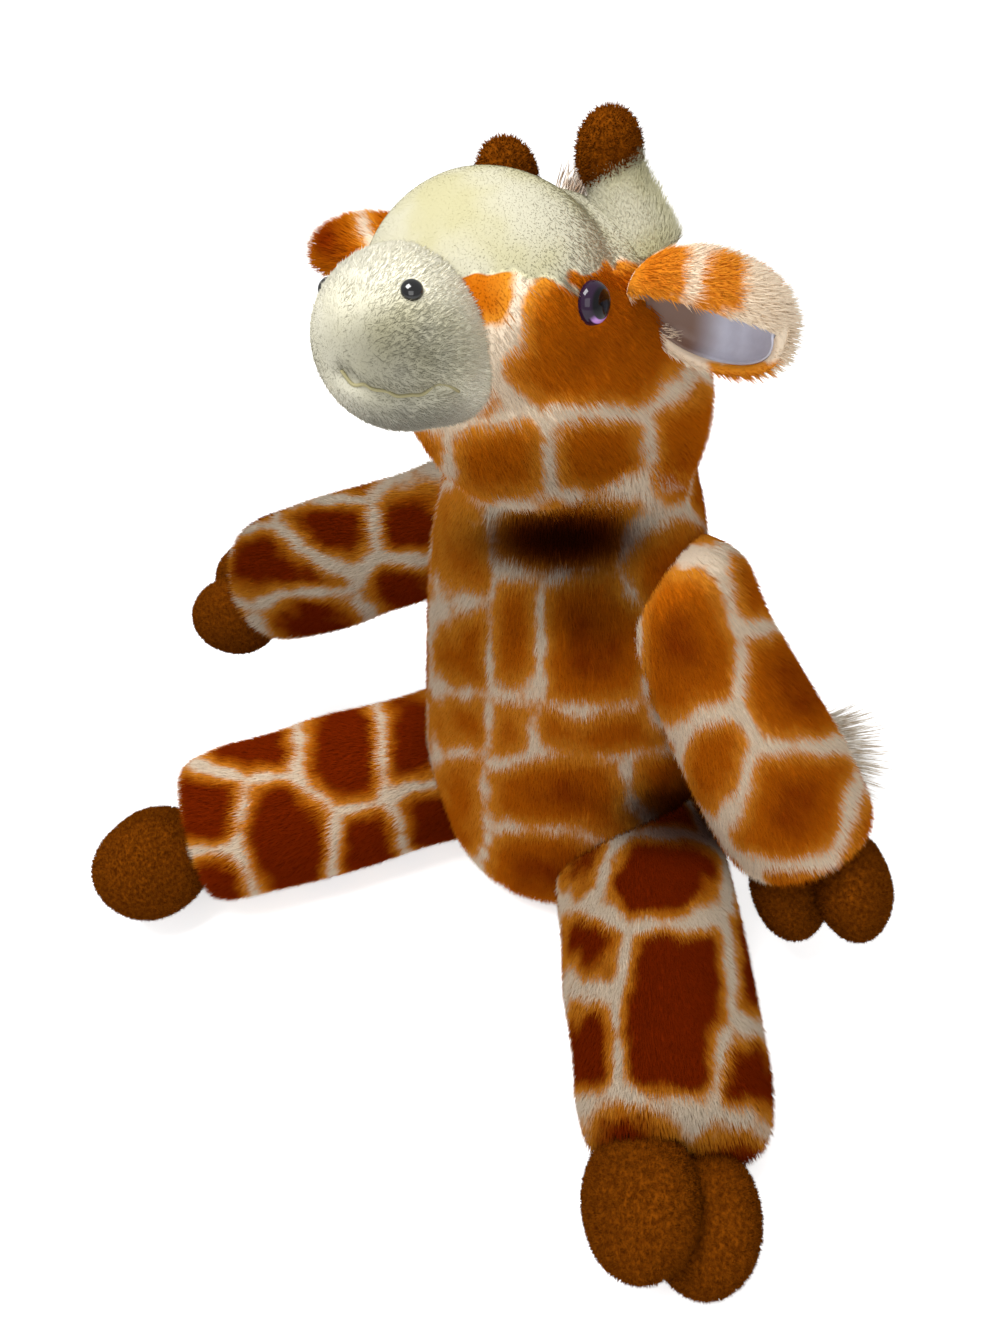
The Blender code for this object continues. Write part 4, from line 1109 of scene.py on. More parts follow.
PAINT = {"torso": 1.12, "leg_left": 0.80, "leg_right": 1.08, "arm_right": 0.80, "arm_left": 1.25,
         "head": 1.28, "ear_left": 1.35, "ear_right": 1.15, "muzzle": 1.13, "stem": 0.56}
GOLD = {"torso": 0.7, "head": 0.7, "ear_left": 0.25, "arm_left": 0.8}
PLAIN_FORMS = ("stem", "hoof", "knob", "muzzle", "tuft")


def shade_of(thing, name):
    """How light each point is: the piece's brightness, with painted shade from its ovals where it faces the
    camera.
    """
    points = points_of(thing)
    u, v, _ = pixel_of(points)
    front = np.clip(((CAMERA_PLACE - points) * normals_of(thing)).sum(1) / (60 * MM) + 0.5, 0, 1)
    shade = np.full(len(u), PAINT.get(name, 1.0))
    for x, y, wide, high, depth in PAINTED_SHADES.get(name, ()):
        shade *= 1 - depth * front * np.exp(-(((u - x) / wide) ** 2 + ((v - y) / high) ** 2) ** 1.5)
    return shade


print("dimmed places:", sum(len(ovals) for ovals in PAINTED_SHADES.values()))

# %% [markdown]
# ## Dressing a skin
# All that the finishes and the pile need is stored on the points of a skin: patch depth, comb, length of
# pile, paleness and shade. Pile that lies inside a neighbouring form would poke out of it, so none grows
# there.

# %% Dress
BROW_SHADE = 0.63
BUFF_OVAL = (390, 345, 80, 62)
PATCH_MISSING, BACKING_ALONG, USUAL_RUST = -1.0, 0.35, 0.8


def wear(thing, finish):
    thing.data.materials.clear()
    thing.data.materials.append(finish)


def combed(thing, way):
    """One comb direction for all points."""
    return np.tile(way, (len(thing.data.vertices), 1))


def dress(thing, name, comb, others=(), seed=1, pale=None, pile=None, finish=skin_finish, **field):
    """Give a skin its patches, its comb and how long its pile is at each point."""
    count = len(thing.data.vertices)
    plain = name in PLAIN_FORMS
    patch = np.full(count, PATCH_MISSING) if plain else patch_field(thing, name, seed, **field)
    store(thing, "patch", np.where(patch > 0, patch * GOLD.get(name, 1), patch))
    store(thing, "comb", comb, 'FLOAT_VECTOR')
    length = np.ones(count) if pile is None else np.array(pile, float)
    length[buried(thing, others)] = 0
    store(thing, "pile", length)
    store(thing, "pale", np.zeros(count) if pale is None else pale)
    store(thing, "along", np.full(count, BACKING_ALONG))
    # The shade attribute holds the piece's brightness and its painted shade.
    shade = shade_of(thing, name)
    if name == "head":
        shade = np.where(np.asarray(pale) > 0.5, BROW_SHADE, shade)
    store(thing, "shade", shade)
    u, v, _ = pixel_of(points_of(thing))
    x, y, wide, high = BUFF_OVAL
    milk = 1 - 0.9 * np.exp(-((u - x) / wide) ** 2 - ((v - y) / high) ** 2)
    store(thing, "milky", milk if name == "muzzle" else np.zeros(count))
    store(thing, "rusty", np.full(count, RUSTY.get(name, USUAL_RUST)))
    wear(thing, finish)


# %% [markdown]
# ## Seams and lumps
# Where two panels are sewn, the thread pulls the cloth into the filling, and the filling itself is lumpy.
# Both are done by moving points along their normals, which keeps the forms soft.

# %% Seams and lumps
FAR = 1


def crease(thing, distance, depth, width):
    """Sink a skin along a seam, where distance is how far each point lies from it."""
    sink = depth * np.exp(-(np.asarray(distance) / width) ** 2)
    move_points(thing, points_of(thing) - normals_of(thing) * sink[:, None])


def uneven(thing, amount, scale, salt):
    """Lumps of filling under the cloth."""
    points = points_of(thing)
    lumps = noise_at(points, scale, salt) * amount
    move_points(thing, points + normals_of(thing) * lumps[:, None])


def framed(points, matrix):
    """Points in the frame of a matrix."""
    back = matrix.inverted()
    return points @ np.array(back.to_3x3()).T + np.array(back.translation)


uneven(torso, amount=1.3 * MM, scale=26, salt=1.0)
uneven(head, amount=0.7 * MM, scale=38, salt=7.0)
place = points_of(torso)
from_seam = np.where(place[:, 2] > 6 * MM, np.abs(place[:, 0] + 1 * MM), FAR)
crease(torso, from_seam, depth=1.1 * MM, width=1.7 * MM)
print("seam on the torso:", int((from_seam < 1.7 * MM).sum()), "points in it")

# %% [markdown]
# ## Seams and lumps of the limbs
# Each limb is closed by one seam, along the back of an arm and the upper outer side of a leg. The feet
# and the seat are pressed flat again afterwards, because lumps would push them into the ground.

# %% Limb seams
for name, side in SIDES:
    leg_out = np.cross(leg_way(side), (0, 0, 1)) * side + np.array((0, 0, 1.2))
    for kind, start, way, out in (("arm_", SHOULDER, arm_way(side), arm_across(side)),
                                  ("leg_", HIP, leg_way(side), leg_out)):
        thing = limbs[kind + name]
        uneven(thing, amount=1.1 * MM, scale=34, salt=7.0 + side)
        out_way, seam_way, along_way = axes_at(way, out)
        offset = points_of(thing) - mirrored(start, side)
        on_seam_side = (offset @ out_way > 0) & (offset @ along_way > 8 * MM)
        from_seam = np.where(on_seam_side, np.abs(offset @ seam_way), FAR)
        crease(thing, from_seam, depth=0.9 * MM, width=1.5 * MM)
for thing in (limbs["leg_left"], limbs["leg_right"], torso):
    lay_flat(thing)
print("lowest point of a leg:", round(points_of(limbs["leg_left"])[:, 2].min() / MM, 2), "mm")

# %% [markdown]
# ## The torso's coat
# The pile hangs down and a little outward, and it is crushed short where the toy sits on it.

# %% Torso's coat
SEAT_PILE = 0.25
place = points_of(torso)
hanging = place * np.array((2, 2, 0)) + np.array((0, 0, -1))
dress(torso, "torso", hanging, [head, *limbs.values()], seed=11,
      pile=np.where(place[:, 2] < 4 * MM, SEAT_PILE, 1))
print("torso in patches:", round(float((read(torso, "patch") > 0).mean()), 2))

# %% [markdown]
# ## The pale brow
# The forehead is a panel of short cream velour that begins above the eyes. An egg in the head's own frame
# says where it lies, and noise frays its edge. A second egg keeps the head's pile clear of the muzzle.

# %% Brow and muzzle on the head
BROW_CENTRE, BROW_REACH = np.array((0, -27, 62)) * MM, np.array((54, 50, 51)) * MM
MUZZLE_CENTRE, MUZZLE_REACH = np.array((-1.5, -52, 1)) * MM, np.array((24.5, 21.5, 22.5)) * MM
BROW_PILE, BROW_SHARPNESS, BROW_FRAY = 0.32, 8, 1.1

local = framed(points_of(head), HEAD)
brow_away = np.linalg.norm((local - BROW_CENTRE) / BROW_REACH, axis=1)
muzzle_away = np.linalg.norm((local - MUZZLE_CENTRE) / MUZZLE_REACH, axis=1)
pale = (1.0 - brow_away) * BROW_SHARPNESS + 0.5
pale = pale + noise_at(points_of(head), scale=170, salt=5.0) * BROW_FRAY
hair = np.where(brow_away < 1, BROW_PILE, 1.0)
hair = np.where(muzzle_away < 1.02, 0, hair)
print("brow covers", round(float((brow_away < 1).mean()), 2), "of the head")

# %% [markdown]
# ## Where the eyes sit
# The left eye is seen, so a ray through its pixel finds its place on the cloth. The right one is guessed
# opposite it, as both are set through the same panel pattern.

# %% Eye seats
LEFT_EYE_PIXEL = (593, 303)


def eye_seat(side):
    """The place and the normal of the cloth where an eye sits."""
    tree = tree_of(head)
    point, normal, _, _ = tree.ray_cast(*ray_of(*LEFT_EYE_PIXEL))
    if side < 0:
        across = HEAD.inverted() @ point
        across.x = -across.x
        point, normal, _, _ = tree.find_nearest(HEAD @ across)
    return point, normal


eye_seats = {name: eye_seat(side) for name, side in SIDES}
print("eyes at", {name: [round(c, 3) for c in point] for name, (point, _) in eye_seats.items()})

# %% [markdown]
# ## The head's coat
# The pile is combed back and down, and trimmed round the eyes so that they can be seen. Between the
# muzzle and the cheeks runs a white fringe, where the print stops short of the seam.

# %% Head's coat
EYE_CLEAR, EYE_TRIM = 5.3 * MM, 5.6 * MM
FRINGE_START, FRINGE_SLOPE = 1.14, 2.4
CHEEK_ROW, CHEEK_FADE = 322, 60

for point, _ in eye_seats.values():
    away = np.linalg.norm(points_of(head) - np.array(point), axis=1)
    trimmed = 0.4 + np.maximum(0, away - EYE_TRIM) / (10 * MM)
    hair = np.where(away < EYE_CLEAR, 0, np.minimum(hair, trimmed))
head_comb = np.array(HEAD.to_3x3()) @ np.array((0, 1, -0.75))
dress(head, "head", combed(head, head_comb), [torso], seed=23, pale=np.clip(pale, 0, 1), pile=hair)
row = pixel_of(points_of(head))[1]
fringe = np.maximum((muzzle_away - FRINGE_START) * FRINGE_SLOPE, (CHEEK_ROW - row) / CHEEK_FADE)
store(head, "patch", np.minimum(read(head, "patch"), fringe))
print("head in patches:", round(float((read(head, "patch") > 0).mean()), 2))

# %% [markdown]
# ## The limbs' coats
# On arms and legs the pile is combed towards the hooves, as on the real animal.

# %% Limbs' coats
PRINT_SEEDS = {"arm_left": 52, "leg_left": 59, "arm_right": 55, "leg_right": 62}
for name, side in SIDES:
    for kind, way in (("arm_" + name, arm_way(side)), ("leg_" + name, leg_way(side))):
        dress(limbs[kind], kind, combed(limbs[kind], way), [torso, hooves[kind]], seed=PRINT_SEEDS[kind])
print("limbs in patches:", {name: round(float((read(thing, "patch") > 0).mean()), 2)
                            for name, thing in limbs.items()})

# %% [markdown]
# ## How an ear stands
# An ear is sewn on by its narrow root and stands out to the side. Three directions describe it: to its
# tip, to its upper edge and out of its opening. The right ear was sewn on with its opening turned further
# down.

# %% Ear frames
EAR_ROOT = np.array((37, -2, 16.5)) * MM
EAR_TIPS = {1: np.array((71.5, 0.5, 13.5)) * MM, -1: np.array((-79, -9, 20.5)) * MM}
EAR_FACING = {1: math.radians(56), -1: math.radians(90)}


def ear_matrix(side):
    """Z from the ear's root to its tip, X to its upper edge and Y out of its opening."""
    root = mirrored(EAR_ROOT, side)
    way = unit(EAR_TIPS[side] - root)
    facing = np.array((0, -math.cos(EAR_FACING[side]), -math.sin(EAR_FACING[side])))
    upper = unit(np.cross(facing, way)) * side
    opening = np.cross(way, upper) * side
    frame_axes = Matrix([upper, opening, way]).transposed().to_4x4()
    return HEAD @ Matrix.Translation(Vector(root)) @ frame_axes, np.linalg.norm(EAR_TIPS[side] - root)


print("ear lengths:", [round(ear_matrix(side)[1] / MM, 1) for _, side in SIDES], "mm")

# %% [markdown]
# ## The cup of an ear
# Plush outside and satin inside are sewn together and turned, which makes a shallow cup with a rolled
# edge. It is drawn between two egg shells. A Solidify modifier would give an even thickness, but not the
# rolled edge.

# %% Ear cups
EAR_ROWS, EAR_STEPS = 30, 26
EAR_LOW, EAR_HIGH = math.radians(-110), math.radians(124)
PLUSH_SHELLS = ((19, 13, 3.5, 0), (16.3, 9.5, 1.0, 0))
SATIN_SHELLS = ((16.2, 9.4, 0.9, 0.1), (15.6, 8.6, 0.3, 0.3))
RIGHT_TRIM = 0.8


def ear_cup(name, side, shells, low, high):
    """A cup between two shells: half width, half depth, spare length and lift of each, in millimetres."""
    matrix, length = ear_matrix(side)
    trim = 0 if side > 0 else RIGHT_TRIM * MM
    there = np.linspace(low, high, EAR_STEPS)
    back = np.linspace(high, low, EAR_STEPS)
    rings = []
    for polar in np.linspace(0.12, math.pi - 0.06, EAR_ROWS):
        taper = math.sin(polar) ** 0.8
        ring = []
        for sizes, angles in zip(shells, (there, back)):
            wide, deep, spare, lift = (size * MM for size in sizes)
            along = length / 2 - 1 * MM - (length / 2 + spare) * math.cos(polar)
            for angle in angles:
                fold = 1 + 0.10 * math.sin(angle * 2 + polar)
                across = (wide - trim) * taper * math.sin(angle)
                if side < 0 and across > 0:
                    across *= 1 - 0.55 * max(0, math.cos(polar)) ** 0.7
                depth = lift - (deep - trim) * taper * fold * math.cos(angle)
                ring.append(tuple(matrix @ Vector((across, depth, along))))
        rings.append(ring if side > 0 else ring[::-1])
    return loft(name, rings)


# %% [markdown]
# ## The two ears
# Pile grows only on the outside and over the rolled edge, so the satin stays clear. The satin knows how far
# out it lies, because the finish paints shade on it deep in the ear.

# %% Ears
MIDDLE_SHELL = np.array((17.6, 11.2))
ears, linings = {}, {}
for name, side in SIDES:
    ears[name] = ear_cup("ear_" + name, side, PLUSH_SHELLS, EAR_LOW, EAR_HIGH)
    linings[name] = ear_cup("ear_" + name + "_satin", side, SATIN_SHELLS, EAR_LOW * 0.93, EAR_HIGH * 0.9)
    matrix, length = ear_matrix(side)
    inside = framed(points_of(ears[name]), matrix)
    girth = np.sqrt(np.clip(1 - ((inside[:, 2] / length - 0.5) / 0.58) ** 2, 0, 1))
    girth = np.maximum(0.25, girth)[:, None]
    shell = np.linalg.norm(inside[:, :2] / MIDDLE_SHELL / MM / girth, axis=1)
    tip_way = np.array(matrix.to_3x3() @ Vector((0, 0, 1)))
    dress(ears[name], "ear_" + name, combed(ears[name], tip_way), [head], seed=51 + side,
          pile=np.where(shell > 0.97, 0.9, 0.0), spacing=15 * MM, line=4.5 * MM, widest=8 * MM)
    store(linings[name], "outward", framed(points_of(linings[name]), matrix)[:, 2] / length)
    wear(linings[name], satin)
print("ears:", len(ears["left"].data.polygons), "faces each")

# %% [markdown]
# ## Horns
# Each horn is a short filled tube of velour with a fleece ball on it. They were sewn on by hand, so the
# two lean differently. Behind, where the mane begins, their pile is left longer.

# %% Horns
HORN_BASE = np.array((21, 8, 33)) * MM
HORN_TIPS = {1: np.array((16, 0, 51.5)) * MM, -1: np.array((-14.5, -4, 44)) * MM}
HORN_ROWS = ((-5, 11.5), (0, 10.6), (5, 9.2), (10, 8.0), (16, 7.2))
KNOB_REACH = Vector((8.2, 8.2, 10.2)) * MM


def standing(place, way):
    """The frame at a place whose Z goes along a way."""
    return Matrix.Translation(Vector(place)) @ Vector(way).to_track_quat('Z', 'Y').to_matrix().to_4x4()


stems, knobs = {}, {}
for name, side in SIDES:
    base = np.array(HEAD @ Vector(mirrored(HORN_BASE, side)))
    tip = np.array(HEAD @ Vector(HORN_TIPS[side]))
    way, length = unit(tip - base), np.linalg.norm(tip - base)
    rows = (*HORN_ROWS, (length / MM, 6.6), (length / MM + 2, 4.0))
    stem = limb_form("horn_" + name + "_velour", base, way, (0, 1, 0), rows, around=40, rings=26)
    stems[name] = stem
    lean = Vector(way).lerp(Vector((0.45 * side, 0.1, 0.6)), 0.45).normalized()
    knobs[name] = melted("horn_" + name + "_fleece", [(standing(tip + way * 0.5 * MM, lean), KNOB_REACH)],
                         voxel=0.9 * MM, rounds=3)
    behind = (points_of(stem) - base) @ unit((0.55 * side, 0.75, 0.1)) / (8 * MM)
    dress(stem, "stem", combed(stem, way), [head, knobs[name]], pale=np.ones(len(behind)),
          pile=0.3 + 0.75 * np.clip(behind, 0, 1))
print("horn knobs:", [len(knob.data.polygons) for knob in knobs.values()], "faces")

# %% [markdown]
# ## A dome on the cloth
# Safety eyes and nostril beads are moulded domes with a shank through the cloth. A dome is turned about
# its axis here and closed below. Each point keeps how far it lies from the middle and from the arc's
# side.

# %% Domes


def dome(name, point, normal, radius, bulge, sink, rings=14, around=40, outer=1):
    """A domed button on a skin, closed below; outer is the side that faces the ear."""
    side, up, out = axes_at(np.array(normal), (0, 0, 1))
    rows = [(radius * 0.4, -sink), (radius * 0.97, -sink), (radius, -sink / 2)]
    for share in np.linspace(0, 1, rings)[:-1]:
        angle = share * math.pi / 2
        rows.append((radius * math.cos(angle), bulge * math.sin(angle)))
    rows.append((0.02 * radius, bulge))
    ring = circle(side, up, around)
    thing = loft(name, [np.array(point) + ring * r + out * h for r, h in rows])
    away = points_of(thing) - np.array(point)
    flat = away - np.outer(away @ out, out)
    spread = np.linalg.norm(flat, axis=1)
    store(thing, "radial", spread / radius)
    store(thing, "lower", flat @ unit(-side - 0.7 * up * outer) / np.maximum(spread, 1e-6))
    return thing


# %% [markdown]
# ## Eyes and nostrils
# The near nostril is seen, so it is found by its pixel. The far one is set opposite it, and 10 mm further
# to the toy's right, because the muzzle was sewn on a little turned that way.

# %% Eyes and nostrils
NOSTRIL_PIXEL = (412, 290)
NOSTRIL_SHIFT = -10 * MM

eyes, nostrils = {}, {}
for name, side in SIDES:
    eyes[name] = dome("eye_dome_" + name, *eye_seats[name], radius=5.3 * MM, bulge=3.7 * MM,
                      sink=2.5 * MM, outer=side)
    wear(eyes[name], eye_look)
muzzle_tree = tree_of(muzzle)
near, near_normal, _, _ = muzzle_tree.ray_cast(*ray_of(*NOSTRIL_PIXEL))
for name, side in SIDES:
    point, normal = near, near_normal
    if side < 0:
        across = HEAD.inverted() @ near
        across.x = NOSTRIL_SHIFT - across.x
        point, normal, _, _ = muzzle_tree.find_nearest(HEAD @ across)
    nostrils[name] = dome("nostril_bead_" + name, point, normal, radius=2.7 * MM, bulge=1.9 * MM,
                          sink=1.2 * MM, rings=10, around=28)
    wear(nostrils[name], bead_look)
print("near nostril at", [round(c, 3) for c in near])

# %% [markdown]
# ## The line of the mouth
# The mouth is one long stitch pulled tight, which draws the muzzle in along it, and a seam runs down its
# middle. Both lines were followed in the photograph by a few pixels each, and rays carry them to the
# cloth.

# %% Mouth lines
MOUTH_PIXELS = ((340, 374), (348, 382), (360, 388), (372, 392), (384, 396), (396, 398), (410, 398),
                (424, 396), (438, 391), (450, 392), (463, 394))
CENTRE_PIXELS = ((352, 282), (350, 300), (349, 320), (348, 340), (347, 360), (347, 380))


def on_muzzle(pixels):
    return [np.array(muzzle_tree.ray_cast(*ray_of(*pixel))[0]) for pixel in pixels]


def path_distance(points, path):
    """How far each point lies from a path."""
    best = np.full(len(points), 1.0)
    for first, second in zip(path, path[1:]):
        step = second - first
        share = np.clip((points - first) @ step / (step @ step), 0, 1)
        best = np.minimum(best, np.linalg.norm(points - (first + share[:, None] * step), axis=1))
    return best


mouth_path, centre_path = on_muzzle(MOUTH_PIXELS), on_muzzle(CENTRE_PIXELS)
place = points_of(muzzle)
mouth_away = path_distance(place, mouth_path)
centre_away = path_distance(place, centre_path)
crease(muzzle, mouth_away, depth=1.8 * MM, width=2.2 * MM)
crease(muzzle, centre_away, depth=0.9 * MM, width=2.4 * MM)
muzzle_tree = tree_of(muzzle)
stitch_lengths = [np.linalg.norm(after - before) for before, after in zip(mouth_path, mouth_path[1:])]
print("the mouth is", round(sum(stitch_lengths) / MM), "mm long")

# %% [markdown]
# ## The mouth's thread and the muzzle's velour
# A thread is a thin tube along its path. The velour is short and combed back, and it keeps clear of the
# thread and of the nostril beads.

# %% Mouth and muzzle


def tube(name, path, radius, around):
    """A round skin along a path."""
    rings = []
    for index, point in enumerate(path):
        before, after = path[max(index - 1, 0)], path[min(index + 1, len(path) - 1)]
        side, up, _ = axes_at(after - before, (0, 0, 1))
        rings.append(point + circle(side, up, around) * radius)
    return loft(name, rings)


stitches = [np.array(muzzle_tree.find_nearest(Vector(p))[0]) for p in mouth_path]
stitches = smooth_rows([(k, *p) for k, p in enumerate(stitches)], len(stitches) * 5)[:, 1:]
mouth = tube("mouth_stitch", stitches, radius=0.45 * MM, around=8)
wear(mouth, thread_look)
beads = [points_of(bead).mean(0) for bead in nostrils.values()]
bead_away = np.minimum.reduce([np.linalg.norm(place - bead, axis=1) for bead in beads])
muzzle_pile = np.where((bead_away < 2.8 * MM) | (mouth_away < 0.7 * MM), 0, 0.42)
muzzle_comb = np.array(HEAD.to_3x3()) @ np.array((0, 1, 0.2))
dress(muzzle, "muzzle", combed(muzzle, muzzle_comb), [head], pale=np.ones(len(place)), pile=muzzle_pile)
print("muzzle left bare:", int((muzzle_pile == 0).sum()), "points")

# %% [markdown]
# ## Fleece on the hooves and the horns' knobs
# Fleece has no comb, so its short pile stands straight out from the cloth and is only ruffled.

# %% Hooves and knobs
for name, thing in hooves.items():
    uneven(thing, amount=0.5 * MM, scale=60, salt=9.0)
    dress(thing, "hoof", normals_of(thing), [limbs[name]], finish=fleece)
for thing in knobs.values():
    dress(thing, "knob", normals_of(thing), finish=fleece)
print("pieces of fleece:", len(hooves) + len(knobs))

# %% [markdown]
# ## The tail
# The tail is a narrow sewn tube that bows out behind and to the left. A curve object could carry it, but
# its points are needed for the coat, so the tube is lofted along a path given by a root, a reach and a
# bow.

# %% Tail
TAIL_ROOT = np.array((0, 46.873, 30)) * MM
TAIL_REACH = np.array((58, 36, -12)) * MM
TAIL_BOW = np.array((10, 20, 4)) * MM
TAIL_WAY = unit((0.80, 0.55, -0.06))


def tail_point(share):
    bow, ease = 4 * share * (1 - share), share * share * (3 - 2 * share)
    return TAIL_ROOT + TAIL_REACH * np.array((ease, math.sqrt(share), share)) + TAIL_BOW * bow * share


tail_path = [tail_point(share) for share in np.linspace(0, 1, 40)]
tail_path.insert(0, tail_path[0] - np.array((0, 6, 0)) * MM)
tail = tube("tail", tail_path, radius=3.4 * MM, around=20)
dress(tail, "tail", combed(tail, TAIL_WAY), [torso], seed=95, pile=np.full(len(tail.data.vertices), 0.55),
      spacing=16 * MM, line=5 * MM, widest=9 * MM)
print("tail ends at", np.round(tail_point(1) / MM, 1).tolist(), "mm")

# %% [markdown]
# ## The tuft's core
# The long hair is sewn to the tail's end as a bundle. It grows here from a small egg, combed out like a
# fan.

# %% Tuft's core
CORE_REACH = Vector((4.6, 4.6, 7)) * MM
TAIL_END = tail_point(1)
tuft_core = melted("tuft_core", [(standing(TAIL_END + TAIL_WAY * 3 * MM, TAIL_WAY), CORE_REACH)],
                   voxel=0.9 * MM, rounds=2)
offset = points_of(tuft_core) - TAIL_END
beside = offset - np.outer(offset @ TAIL_WAY, TAIL_WAY)
fan = TAIL_WAY + beside / (4.6 * MM) * np.array((0.34, 0.34, 0.12))
dress(tuft_core, "tuft", fan, pile=np.ones(len(fan)), finish=tuft_look)
print("tuft core:", len(tuft_core.data.polygons), "faces")

# %% [markdown]
# ## The mane
# The mane is a strip of longer hair sewn into the seam over the crown and the nape. It grows from a
# hidden copy of the head, where only that strip has pile.

# %% Mane's strip
mane_base = bpy.data.objects.new("mane_base", head.data.copy())
bpy.context.scene.collection.objects.link(mane_base)
on_strip = (np.abs(local[:, 0]) < 4.5 * MM) & (local[:, 1] > 3 * MM) & (points_of(head)[:, 2] > 214 * MM)
store(mane_base, "pile", np.where(on_strip, np.where(local[:, 2] > 34 * MM, 1.25, 0.75), 0))
mane_way = np.array(HEAD.to_3x3()) @ np.array((0, 0.75, 0.45))
store(mane_base, "comb", combed(mane_base, mane_way), 'FLOAT_VECTOR')
print("points on the mane's strip:", int(on_strip.sum()))

# %% [markdown]
# ## Axes for longitude and height
# Each skin is listed with the frame whose Z is its own axis. The order of this list matters: a skin's
# number in it is the seed of its pile.

# %% Skins and their axes
SKINS = {"torso": (torso, Matrix.Identity(4)), "head": (head, HEAD), "muzzle": (muzzle, HEAD)}
for name, side in SIDES:
    for kind, start, way in (("arm_" + name, SHOULDER, arm_way(side)), ("leg_" + name, HIP, leg_way(side))):
        axis = standing(mirrored(start, side), way)
        SKINS[kind] = (limbs[kind], axis)
        SKINS[kind + "_hoof"] = (hooves[kind], axis)
    SKINS["ear_" + name] = (ears[name], ear_matrix(side)[0])
    SKINS["horn_" + name + "_stem"] = (stems[name], HEAD)
    SKINS["horn_" + name + "_knob"] = (knobs[name], HEAD)
SKINS["tail"] = (tail, standing(TAIL_ROOT, TAIL_WAY))
SKINS["tuft_core"] = (tuft_core, Matrix.Identity(4))
SKINS["mane_base"] = (mane_base, HEAD)
for thing, matrix in SKINS.values():
    wrap_uv(thing, matrix)
print("skins:", len(SKINS))

# %% [markdown]
# ## Three kinds of short pile
# The coat is long and combed, the velour short and dense, and the fleece stands in short curls. Density
# is in strands to the square millimetre. The torso's coat is grown in three parts, so none has too many
# faces.

# %% Coat, velour and fleece
COAT = dict(density=2.5, length=4.2 * MM, width=0.36 * MM, lean=0.68, ruffle=0.16)
VELOUR = dict(density=4.6, length=4.0 * MM, width=0.28 * MM, lean=0.62, ruffle=0.25)
CURLS = dict(density=2.4, length=1.5 * MM, width=0.5 * MM, lean=0.0, ruffle=0.9)
TORSO_PARTS = {"torso_low": (-1, 62), "torso_middle": (62, 122), "torso_high": (122, 999)}

furs = {}
for number, (name, (skin, _)) in enumerate(SKINS.items()):
    if name in ("tuft_core", "mane_base"):
        continue
    if "hoof" in name or "knob" in name:
        furs[name] = grow(name + "_pile", skin, spike, fleece, number, **CURLS)
    elif name == "muzzle" or "stem" in name:
        furs[name] = grow(name + "_pile", skin, spike, pile_finish, number, **VELOUR)
    elif name == "torso":
        for part, (low, high) in TORSO_PARTS.items():
            furs[part] = grow(part + "_pile", skin, spike, pile_finish, number,
                              only=lambda p, low=low, high=high: low * MM <= p.z < high * MM, **COAT)
    else:
        furs[name] = grow(name + "_pile", skin, spike, pile_finish, number, **COAT)
print("furs:", len(furs))

# %% [markdown]
# ## Long hair
# The tuft and the mane are grown with the bending strand. Where the tuft meets the ground, its hair is
# pressed flat on it, still a little apart. The two strands and the hidden copy are no pieces of the toy,
# so they go.

# %% Tuft and mane
TUFT_HAIR = dict(density=2.8, length=43 * MM, width=0.5 * MM, lean=0.86, ruffle=0.16)
MANE_HAIR = dict(density=1.5, length=9 * MM, width=0.5 * MM, lean=0.5, ruffle=0.35)

tuft = grow("tail_tuft_hair", tuft_core, lock, tuft_look, 5, **TUFT_HAIR)
place = points_of(tuft)
place[:, 2] = np.maximum(place[:, 2], GROUND + 0.1 * np.abs(place[:, 2]))
move_points(tuft, place)
mane = grow("mane_hair", mane_base, lock, mane_look, 6, **MANE_HAIR)
for spare in (spike, lock, mane_base):
    bpy.data.objects.remove(spare, do_unlink=True)
print("hair:", len(tuft.data.polygons) + len(mane.data.polygons), "faces")

# %% [markdown]
# ## Riding on the bodies
# Each piece moves with one body of the frame, but for the limbs' skins and piles: the cloth at a sewn root is
# held by both the torso and the limb, and here those pieces only have their place written into their points.

# %% Ride on the bodies
horn_furs = [furs["horn_" + name + "_" + end] for name, _ in SIDES for end in ("stem", "knob")]
for thing in (torso, furs["torso_low"], furs["torso_middle"], furs["torso_high"]):
    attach(thing, "torso")
for thing in (head, muzzle, mouth, furs["head"], furs["muzzle"], mane, *stems.values(), *knobs.values(),
              *eyes.values(), *nostrils.values(), *horn_furs):
    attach(thing, "head")
for name, _ in SIDES:
    for thing in (ears[name], linings[name], furs["ear_" + name]):
        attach(thing, "ear_" + name)
for thing in (tail, tuft_core, tuft, furs["tail"]):
    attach(thing, "tail")
for kind, start, way_of in (("arm_", SHOULDER, arm_way), ("leg_", HIP, leg_way)):
    for name, side in SIDES:
        root, way = mirrored(start, side), way_of(side)
        for thing in (limbs[kind + name], furs[kind + name]):
            kind + name
            tuple(root - way * 4 * MM)
            tuple(root + way * 26 * MM)
            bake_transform(thing)
        for thing in (hooves[kind + name], furs[kind + name + "_hoof"]):
            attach(thing, kind + name)
print("limbs blended:", len(limbs))

# %% [markdown]
# ## The ears' piles
# The piles of both ears are gathered in one list.

